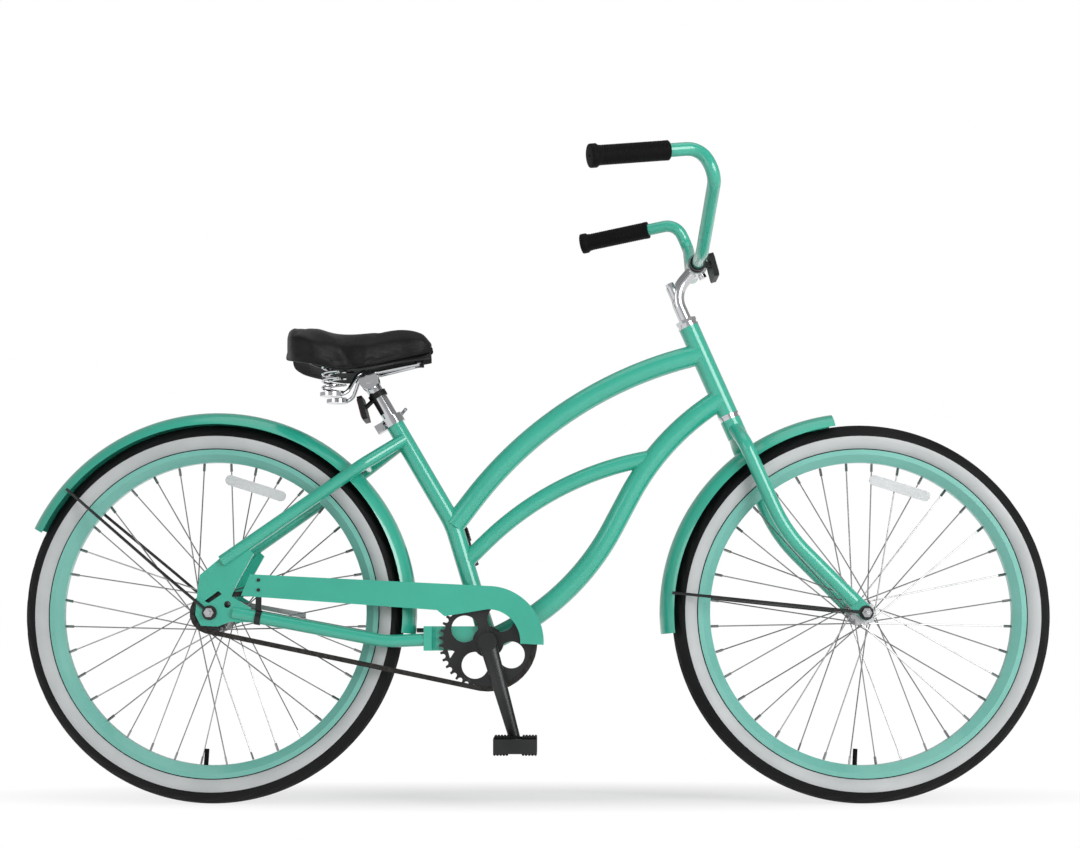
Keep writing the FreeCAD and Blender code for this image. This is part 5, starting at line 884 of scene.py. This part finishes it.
@dataclass
class Saddle:
    """The padded saddle: a cushion under vinyl, with a fold down each side and a welt round its edge."""

    node: str = "saddle_cushion"
    body: str = "saddle_top"
    # Station, half width, top, skirt and belly, as shares of the length, half the width and the height.
    shares: tuple[tuple[float, float, float, float, float], ...] = (
        (0.0, 0.52, 0.95, 0.24, 0.52),
        (0.06, 0.82, 1.0, 0.17, 0.54),
        (0.20, 1.0, 0.91, 0.09, 0.50),
        (0.40, 0.84, 0.80, 0.0, 0.46),
        (0.58, 0.50, 0.87, 0.14, 0.50),
        (0.78, 0.32, 0.985, 0.31, 0.58),
        (0.93, 0.26, 0.91, 0.42, 0.60),
        (1.0, 0.14, 0.70, 0.49, 0.58),
    )
    width: float = 0.222
    height: float = 0.088
    back: float = 0.014
    lift: float = 0.003
    under_steps: int = 10
    wall_steps: int = 10
    wall_low: float = 0.7
    wall_high: float = 0.3
    bulge: float = 1.04
    crown_steps: int = 12
    crown_power: float = 2.4
    skirt_share: float = 0.90
    side_share: float = 0.62
    stations: int = 60
    full_span: tuple[float, float] = (0.04, 0.962)
    # Station and scale of the rings that close each end.
    end_rings: tuple[tuple[float, float], ...] = ((0.0, 0.6), (0.0008, 0.82), (0.005, 0.94), (0.016, 0.99))
    shrink: float = 0.003
    shrink_facing: float = -0.3
    held_rows: int = 2
    pressure: float = 4.0
    cloth_mass: float = 0.1
    cloth_stiffness: float = 1.0
    cloth_bending: float = 0.3
    frames: int = 20
    cap: float = 0.008
    fill: float = 0.75
    fold: tuple[tuple[float, float], ...] = (
        (-0.398, 0.832), (-0.374, 0.814), (-0.347, 0.790), (-0.324, 0.752),
    )
    fold_height: float = 0.003
    fold_width: float = 0.009
    fold_clear: float = 0.012
    fold_facing: float = -0.5
    hollow_gap: float = 0.014
    hollow_width: float = 0.009
    hollow_share: float = 0.6
    welt_radius: float = 0.0016
    welt_sides: int = 10
    welt_rise: float = 0.004
    welt_tail: float = 0.055
    welt_nose: float = 0.022
    welt_reach: float = 0.05
    welt_ray: float = 0.3
    welt_rounds: int = 3
    # Steps round the tail, along a side and round the nose.
    welt_steps: tuple[int, int, int] = (22, 46, 14)

    def build(self, palette: Palette) -> list[bpy.types.Object]:
        """Makes the cushion in place of its solid, and its welt.

        Args:
            palette: The finishes.

        Returns:
            The cushion and the welt.
        """
        cushion = self._blank()
        self._swell(cushion)
        self._crease(cushion)
        self._refine(cushion)
        welt = self._welt(cushion)
        self.dress(cushion, welt, palette)
        return [cushion, welt]

    def dress(self, cushion: bpy.types.Object, welt: bpy.types.Object, palette: Palette) -> None:
        """Covers both pieces in vinyl and sets them on the saddle's top."""
        for piece in (cushion, welt):
            palette.dress(piece, Coat.SADDLE_VINYL)
            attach(piece, self.body)
        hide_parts(self.node)

    def _read(self, station: float) -> list[float]:
        """Half width, top, skirt and belly at a station, on a smooth curve through the table."""
        rows = self.shares
        for index in range(len(rows) - 1):
            if station <= rows[index + 1][0] or index == len(rows) - 2:
                break
        low, high = rows[index], rows[index + 1]
        before, after = rows[max(index - 1, 0)], rows[min(index + 2, len(rows) - 1)]
        span = high[0] - low[0]
        share = min(max((station - low[0]) / span, 0.0), 1.0)
        cube, square = share**3, share**2
        values = []
        for column in range(1, len(low)):
            slope_low = (high[column] - before[column]) / (high[0] - before[0]) * span
            slope_high = (after[column] - low[column]) / (after[0] - low[0]) * span
            values.append(
                (2 * cube - 3 * square + 1) * low[column]
                + (cube - 2 * square + share) * slope_low
                + (3 * square - 2 * cube) * high[column]
                + (cube - square) * slope_high
            )
        return values

    def _corner(self) -> tuple[Vector, float]:
        """The cover's low corner at the tail, and its length."""
        low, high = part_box(self.node)
        return low + Vector((-self.back, 0.0, self.lift)), high.x - low.x

    def _section(self, station: float, scale: float) -> list[Vector]:
        """One section of the cover, from its belly round its skirts and over its top, drawn in by a scale."""
        low, length = self._corner()
        half, top, skirt, belly = self._read(station)
        reach = half * self.width / 2
        foot = reach * self.skirt_share
        top, skirt, belly = top * self.height, skirt * self.height, belly * self.height
        side = skirt + (top - skirt) * self.side_share
        under = []
        for step in range(-self.under_steps, self.under_steps + 1):
            share = step / self.under_steps
            under.append((foot * share, skirt + (belly - skirt) * (1 - share**2)))
        wall = []
        for step in range(1, self.wall_steps):
            share = step / self.wall_steps
            begin, bend, end = (1 - share) ** 2, 2 * share * (1 - share), share**2
            out = begin * foot + bend * reach * self.bulge + end * reach
            up = begin * skirt + bend * (skirt * self.wall_low + side * self.wall_high) + end * side
            wall.append((out, up))
        crown = []
        for step in range(self.crown_steps, -self.crown_steps - 1, -1):
            fall = abs(step / self.crown_steps) ** self.crown_power
            crown.append((reach * step / self.crown_steps, side + (top - side) * (1 - fall)))
        outline = under + wall + crown + [(-out, up) for out, up in reversed(wall)]
        along, middle = low.x + station * length, (top + side) / 2
        return [Vector((along, out * scale, low.z + middle + (up - middle) * scale)) for out, up in outline]

    def _blank(self) -> bpy.types.Object:
        """Skins the sections into the cover, a little smaller than it ends up."""
        rings = [self._section(station, scale) for station, scale in self.end_rings]
        first, last = self.full_span
        for step in range(self.stations):
            rings.append(self._section(first + (last - first) * step / (self.stations - 1), 1.0))
        rings += [self._section(1.0 - station, scale) for station, scale in reversed(self.end_rings)]
        cushion = strip_of("saddle_cover", rings, closed=False)
        normals = [entry.vector.copy() for entry in cushion.data.vertex_normals]
        for vertex, normal in zip(cushion.data.vertices, normals):
            vertex.co -= normal * (self.shrink if normal.z > self.shrink_facing else 0.0)
        return cushion

    @staticmethod
    def _settle(piece: bpy.types.Object) -> None:
        """Applies the piece's modifiers to its mesh."""
        graph = bpy.context.evaluated_depsgraph_get()
        made = bpy.data.meshes.new_from_object(piece.evaluated_get(graph))
        piece.modifiers.clear()
        piece.data = made

    def _swell(self, cushion: bpy.types.Object) -> None:
        """Blows the cover out with a cloth simulation, held at its ends and where it lies on the pan."""
        before = [vertex.co.copy() for vertex in cushion.data.vertices]
        ring = len(self._section(0.0, 1.0))
        ends = len(self.end_rings) * ring
        free = range(2 * self.under_steps + 1 + self.held_rows, ring - self.held_rows)
        inner = range(ends, len(before) - ends)
        kept = [index for index in range(len(before)) if index % ring not in free or index not in inner]
        held = cushion.vertex_groups.new(name="held")
        held.add(kept, 1.0, "REPLACE")
        settings = cushion.modifiers.new("cover", "CLOTH").settings
        settings.vertex_group_mass = held.name
        settings.use_pressure = True
        settings.uniform_pressure_force = self.pressure
        settings.effector_weights.gravity = 0.0
        settings.mass = self.cloth_mass
        settings.tension_stiffness = self.cloth_stiffness
        settings.compression_stiffness = self.cloth_stiffness
        settings.bending_stiffness = self.cloth_bending
        scene = bpy.context.scene
        for frame in range(1, self.frames + 1):
            scene.frame_set(frame)
        self._settle(cushion)
        scene.frame_set(1)
        cushion.vertex_groups.clear()
        for vertex, start in zip(cushion.data.vertices, before):
            move = vertex.co - start
            if move.length > self.cap:
                vertex.co = start + move * (self.cap / move.length)

    def _crease(self, cushion: bpy.types.Object) -> None:
        """Raises the fold that runs down each side from the tail, with a hollow behind it."""
        normals = [entry.vector.copy() for entry in cushion.data.vertex_normals]
        for vertex, normal in zip(cushion.data.vertices, normals):
            if abs(vertex.co.y) < self.fold_clear or normal.z < self.fold_facing:
                continue
            runs = zip(self.fold, self.fold[1:])
            near, signed = min((self._off(vertex.co, *ends) for ends in runs), key=lambda pair: pair[0])
            ridge = math.exp(-((near / self.fold_width) ** 2))
            hollow = math.exp(-(((near - self.hollow_gap) / self.hollow_width) ** 2)) if signed < 0 else 0.0
            vertex.co += normal * (self.fold_height * ridge - self.hollow_share * self.fold_height * hollow)

    @staticmethod
    def _off(at: Vector, start: tuple[float, float], end: tuple[float, float]) -> tuple[float, float]:
        """How far a point is from a run of the fold, seen from the side, and on which side of it."""
        way = Vector(end) - Vector(start)
        gap = Vector((at.x, at.z)) - Vector(start)
        share = min(max(gap.dot(way) / way.length_squared, 0.0), 1.0)
        return (gap - way * share).length, way.x * gap.y - way.y * gap.x

    def _refine(self, cushion: bpy.types.Object) -> None:
        """Adds one subdivision to the cover."""
        finer = cushion.modifiers.new("finer", "SUBSURF")
        finer.levels = finer.render_levels = 1
        self._settle(cushion)
        cushion.data.shade_smooth()

    def _welt_line(self, tree: BVHTree) -> list[Vector]:
        """Points on the cover along its lower edge, all the way round."""
        low, length = self._corner()
        tail, nose = low.x + self.welt_tail, low.x + length - self.welt_nose
        round_tail, along, round_nose = self.welt_steps
        spots: list[tuple[float, float]] = []
        spots += [(tail, 90 + 180 * step / round_tail) for step in range(round_tail)]
        spots += [(tail + (nose - tail) * step / along, 270) for step in range(along)]
        spots += [(nose, 270 + 180 * step / round_nose) for step in range(round_nose)]
        spots += [(nose + (tail - nose) * step / along, 90) for step in range(along)]
        line: list[Vector] = []
        for centre, turn in spots:
            way = Vector((math.cos(math.radians(turn)), math.sin(math.radians(turn)), 0.0))
            share = min(max((centre + way.x * self.welt_reach - low.x) / length, 0.0), 1.0)
            level = low.z + self._read(share)[2] * self.height + self.welt_rise
            hit = tree.ray_cast(Vector((centre, 0.0, level)) + way * self.welt_ray, -way)[0]
            if hit is not None:
                line.append(hit)
        for _ in range(self.welt_rounds):
            beside = zip([line[-1], *line], line, [*line[1:], line[0]])
            line = [(before + at * 2 + after) / 4 for before, at, after in beside]
        return line

    def _welt(self, cushion: bpy.types.Object) -> bpy.types.Object:
        """Lays the welt along the cover's lower edge."""
        points = [vertex.co for vertex in cushion.data.vertices]
        tree = BVHTree.FromPolygons(points, [face.vertices for face in cushion.data.polygons])
        line = self._welt_line(tree)
        turns = [2 * math.pi * step / self.welt_sides for step in range(self.welt_sides)]
        rings = []
        for index, at in enumerate(line):
            way = (line[(index + 1) % len(line)] - line[index - 1]).normalized()
            out = tree.find_nearest(at)[1]
            out = (out - way * out.dot(way)).normalized()
            side = way.cross(out)
            spokes = [out * math.cos(turn) + side * math.sin(turn) for turn in turns]
            rings.append([at + spoke * self.welt_radius for spoke in spokes])
        welt = strip_of("saddle_welt", rings, closed=True)
        welt.data.shade_smooth()
        return welt


@dataclass(frozen=True)
class SaddleSprings:
    """The coil springs between the saddle's rails and its top."""

    node: str = "saddle_springs"
    rails_body: str = "saddle_frame"
    top_body: str = "saddle_top"
    foot_share: float = 0.2
    head_share: float = 0.8

    def build(self, nodes: dict[str, bpy.types.Object], palette: Palette) -> bpy.types.Object:
        """Makes the springs from the shape of their solid.

        Args:
            nodes: The CAD pieces by name.
            palette: The finishes.

        Returns:
            The springs.
        """
        mesh = nodes[self.node].data.copy()
        mesh.transform(nodes[self.node].matrix_world)
        springs = piece_from("saddle_springs_coiled", mesh)
        self.dress(springs, palette)
        return springs

    def dress(self, springs: bpy.types.Object, palette: Palette) -> None:
        """Plates the springs, hides their solid and bakes their place into their mesh."""
        palette.dress(springs, Coat.CHROME)
        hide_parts(self.node)
        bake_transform(springs)


@dataclass(frozen=True)
class Lamp:
    """A round soft box: where it hangs, how wide it is and its power."""

    name: str
    at: Point
    size: float
    power: float


@dataclass
class Studio:
    """The white studio: floor, lights, backdrop and the camera."""

    eye: Point = (0.0165, -3.1017, 0.2943)
    lens: float = 58.983
    shift: tuple[float, float] = (-0.0072, 0.0795)
    tilt: float = 4.0
    sensor: float = 36.0
    sight: float = 200.0
    floor_half: float = 60.0
    floor_tone: float = 0.86
    # The oval of floor that takes the shadow: its offset and scale, its edges, and the glow at them.
    shade_offset: Point = (0.0, -0.5, 0.0)
    shade_scale: Point = (0.95, 3.3, 1.0)
    shade_edges: tuple[float, float] = (0.25, 1.05)
    shade_glow: tuple[float, float] = (0.5, 1.0)
    sky_top: float = 0.8
    sky_strength: tuple[float, float] = (0.6, 0.28)
    aim: Point = (0.0, 0.0, 0.5)
    lamps: tuple[Lamp, ...] = (
        Lamp("key", (2.4, -3.0, 1.6), 2.4, 80.0),
        Lamp("fill", (-2.6, -2.8, 1.4), 2.0, 15.0),
        Lamp("top", (0.0, -0.4, 3.6), 3.0, 18.0),
    )

    def build(self) -> None:
        """Sets the stage."""
        self._camera()
        self._floor()
        self._world()
        self._lights()
        bpy.context.scene.view_settings.view_transform = "Standard"

    def _camera(self) -> None:
        """Places the camera low on the right side, tilted up a little, as the photograph was taken."""
        data = bpy.data.cameras.new("camera")
        data.lens = self.lens
        data.sensor_width = self.sensor
        data.sensor_fit = "HORIZONTAL"
        data.shift_x, data.shift_y = self.shift
        data.clip_end = self.sight
        camera = bpy.data.objects.new("camera", data)
        camera.location = self.eye
        camera.rotation_euler = (math.radians(90.0 + self.tilt), 0.0, 0.0)
        bpy.context.scene.collection.objects.link(camera)
        bpy.context.scene.camera = camera

    def _floor(self) -> None:
        """Lays a pale floor that shows as white, and takes the shadow under the bicycle."""
        half = self.floor_half
        corners = [(-half, -half, 0.0), (half, -half, 0.0), (half, half, 0.0), (-half, half, 0.0)]
        mesh = bpy.data.meshes.new("floor")
        mesh.from_pydata(corners, [], [(0, 1, 2, 3)])
        floor = piece_from("floor", mesh)
        material = bpy.data.materials.new("studio_floor")
        material.use_nodes = True
        material.node_tree.nodes.clear()
        board = Board(material.node_tree)
        paint = board.add("BsdfDiffuse", Color=(self.floor_tone, self.floor_tone, self.floor_tone, 1.0))
        glow = board.add("Emission", Color=WHITE, Strength=1.0)
        where = board.add("NewGeometry")
        oval = board.add("Mapping", Location=self.shade_offset, Scale=self.shade_scale)
        reach = board.add("VectorMath", operation="LENGTH")
        share = board.add("Math", operation="MULTIPLY")
        board.join(where.outputs["Position"], oval.inputs["Vector"])
        board.join(oval.outputs[0], reach.inputs[0])
        board.join(board.ray_is("Is Camera Ray", "Is Glossy Ray"), share.inputs[0])
        board.join(board.ramp(reach.outputs["Value"], *self.shade_edges, *self.shade_glow), share.inputs[1])
        board.show(share.outputs[0], paint, glow, "OutputMaterial")
        mesh.materials.append(material)

    def _world(self) -> None:
        """Gives soft light all round, and a white backdrop to the camera."""
        world = bpy.data.worlds.new("studio")
        bpy.context.scene.world = world
        world.use_nodes = True
        world.node_tree.nodes.clear()
        board = Board(world.node_tree)
        soft = board.add("Background", Color=WHITE)
        white = board.add("Background", Color=WHITE, Strength=1.0)
        way = board.add("TexCoord")
        parts = board.add("SeparateXYZ")
        board.join(way.outputs["Generated"], parts.inputs[0])
        strength = board.ramp(parts.outputs["Z"], 0.0, self.sky_top, *self.sky_strength)
        board.join(strength, soft.inputs["Strength"])
        board.show(board.ray_is("Is Camera Ray", "Is Transmission Ray"), soft, white, "OutputWorld")

    def _lights(self) -> None:
        """Hangs the soft boxes, each turned to the middle of the bicycle."""
        for lamp in self.lamps:
            data = bpy.data.lights.new(lamp.name, "AREA")
            data.shape = "DISK"
            data.size = lamp.size
            data.energy = lamp.power
            hung = bpy.data.objects.new(lamp.name, data)
            hung.location = lamp.at
            hung.rotation_euler = (Vector(self.aim) - Vector(lamp.at)).to_track_quat("-Z", "Y").to_euler()
            bpy.context.scene.collection.objects.link(hung)


class CadCoats:
    """Finishes for the pieces that show as they were made in CAD."""

    COATS: dict[Coat, tuple[str, ...]] = {
        Coat.FRAME_PAINT: (
            "head_tube", "top_tube", "down_tube", "brace_tube", "seat_tube", "bottom_bracket_shell",
            "chain_stay_yoke", "chain_stays", "seat_stays", "dropouts", "rear_fender", "chain_guard",
            "fork_steerer", "fork_blades", "front_fender", "handlebar",
        ),
        Coat.RIM_PAINT: ("front_rim", "rear_rim"),
        Coat.CHROME: (
            "headset_cups", "headset_bearings", "stem", "stem_bolts", "seat_collar", "seat_post",
            "saddle_clamp", "saddle_rails", "saddle_springs", "rear_axle_nuts", "front_axle_nuts",
        ),
        Coat.SATIN_STEEL: ("rear_axle", "front_axle", "front_hub", "rear_hub", "brake_arm"),
        Coat.SPOKE_STEEL: ("front_spokes", "rear_spokes"),
        Coat.DARK_STEEL: (
            "bottom_bracket_cups", "crank", "crank_bearings", "chainring", "rear_cog", "rear_fender_stays",
            "front_fender_stays", "pedal_right_body", "pedal_left_body", "chain_guard_strap",
        ),
        Coat.OILED_STEEL: ("chain",),
        Coat.GRIP_RUBBER: (
            "front_inner_tube", "rear_inner_tube", "grips", "pedal_right_blocks", "pedal_left_blocks",
        ),
        Coat.TREAD_RUBBER: ("front_tyre", "rear_tyre"),
        Coat.BLACK_PLASTIC: ("saddle_pan", "front_reflector", "rear_reflector"),
        Coat.SADDLE_VINYL: ("saddle_cushion",),
        Coat.CLEAR_LENS: ("front_spoke_reflector", "rear_spoke_reflector"),
    }

    def dress(self, nodes: dict[str, bpy.types.Object], palette: Palette) -> None:
        """Gives every CAD piece its finish.

        Args:
            nodes: The CAD pieces by name.
            palette: The finishes.
        """
        for coat, names in self.COATS.items():
            for name in names:
                palette.dress(nodes[name], coat)
                LOG.info("dressed %s in %s", name, coat.value.name)


def main(frame: dict[str, object]) -> None:
    """Builds the studio and dresses the bicycle.

    Args:
        frame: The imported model's bodies, nodes, joints and record.
    """
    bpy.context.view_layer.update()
    palette = Palette()
    Studio().build()
    CadCoats().dress(frame["nodes"], palette)
    pieces: list[bpy.types.Object] = [BraceTube().build(palette)]
    for body, node in (("front_wheel", "front_tyre"), ("rear_wheel", "rear_tyre")):
        pieces.append(Tyre(body, node).build(palette))
    for side in Side:
        pieces.append(Grip(side).build(palette))
    pieces += PedalBlocks(Side.RIGHT, turn=0.0).build(palette)
    pieces += PedalBlocks(Side.LEFT, turn=73.0).build(palette)
    for lens in (
        Lens("front_lens", "handlebar", (0.31227, 0.0, 0.94257), 1, Coat.CLEAR_LENS, "clear_reflector"),
        Lens("rear_lens", "seat_post", (-0.31231, 0.0, 0.68707), -1, Coat.RED_LENS, "red_reflector"),
    ):
        pieces.append(lens.build(palette))
    pieces += Saddle().build(palette)
    pieces.append(SaddleSprings().build(frame["nodes"], palette))
    for piece in pieces:
        LOG.info("made %s with %d points", piece.name, len(piece.data.vertices))


if __name__ == "__main__":
    logging.basicConfig(level=logging.INFO)
    main(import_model())
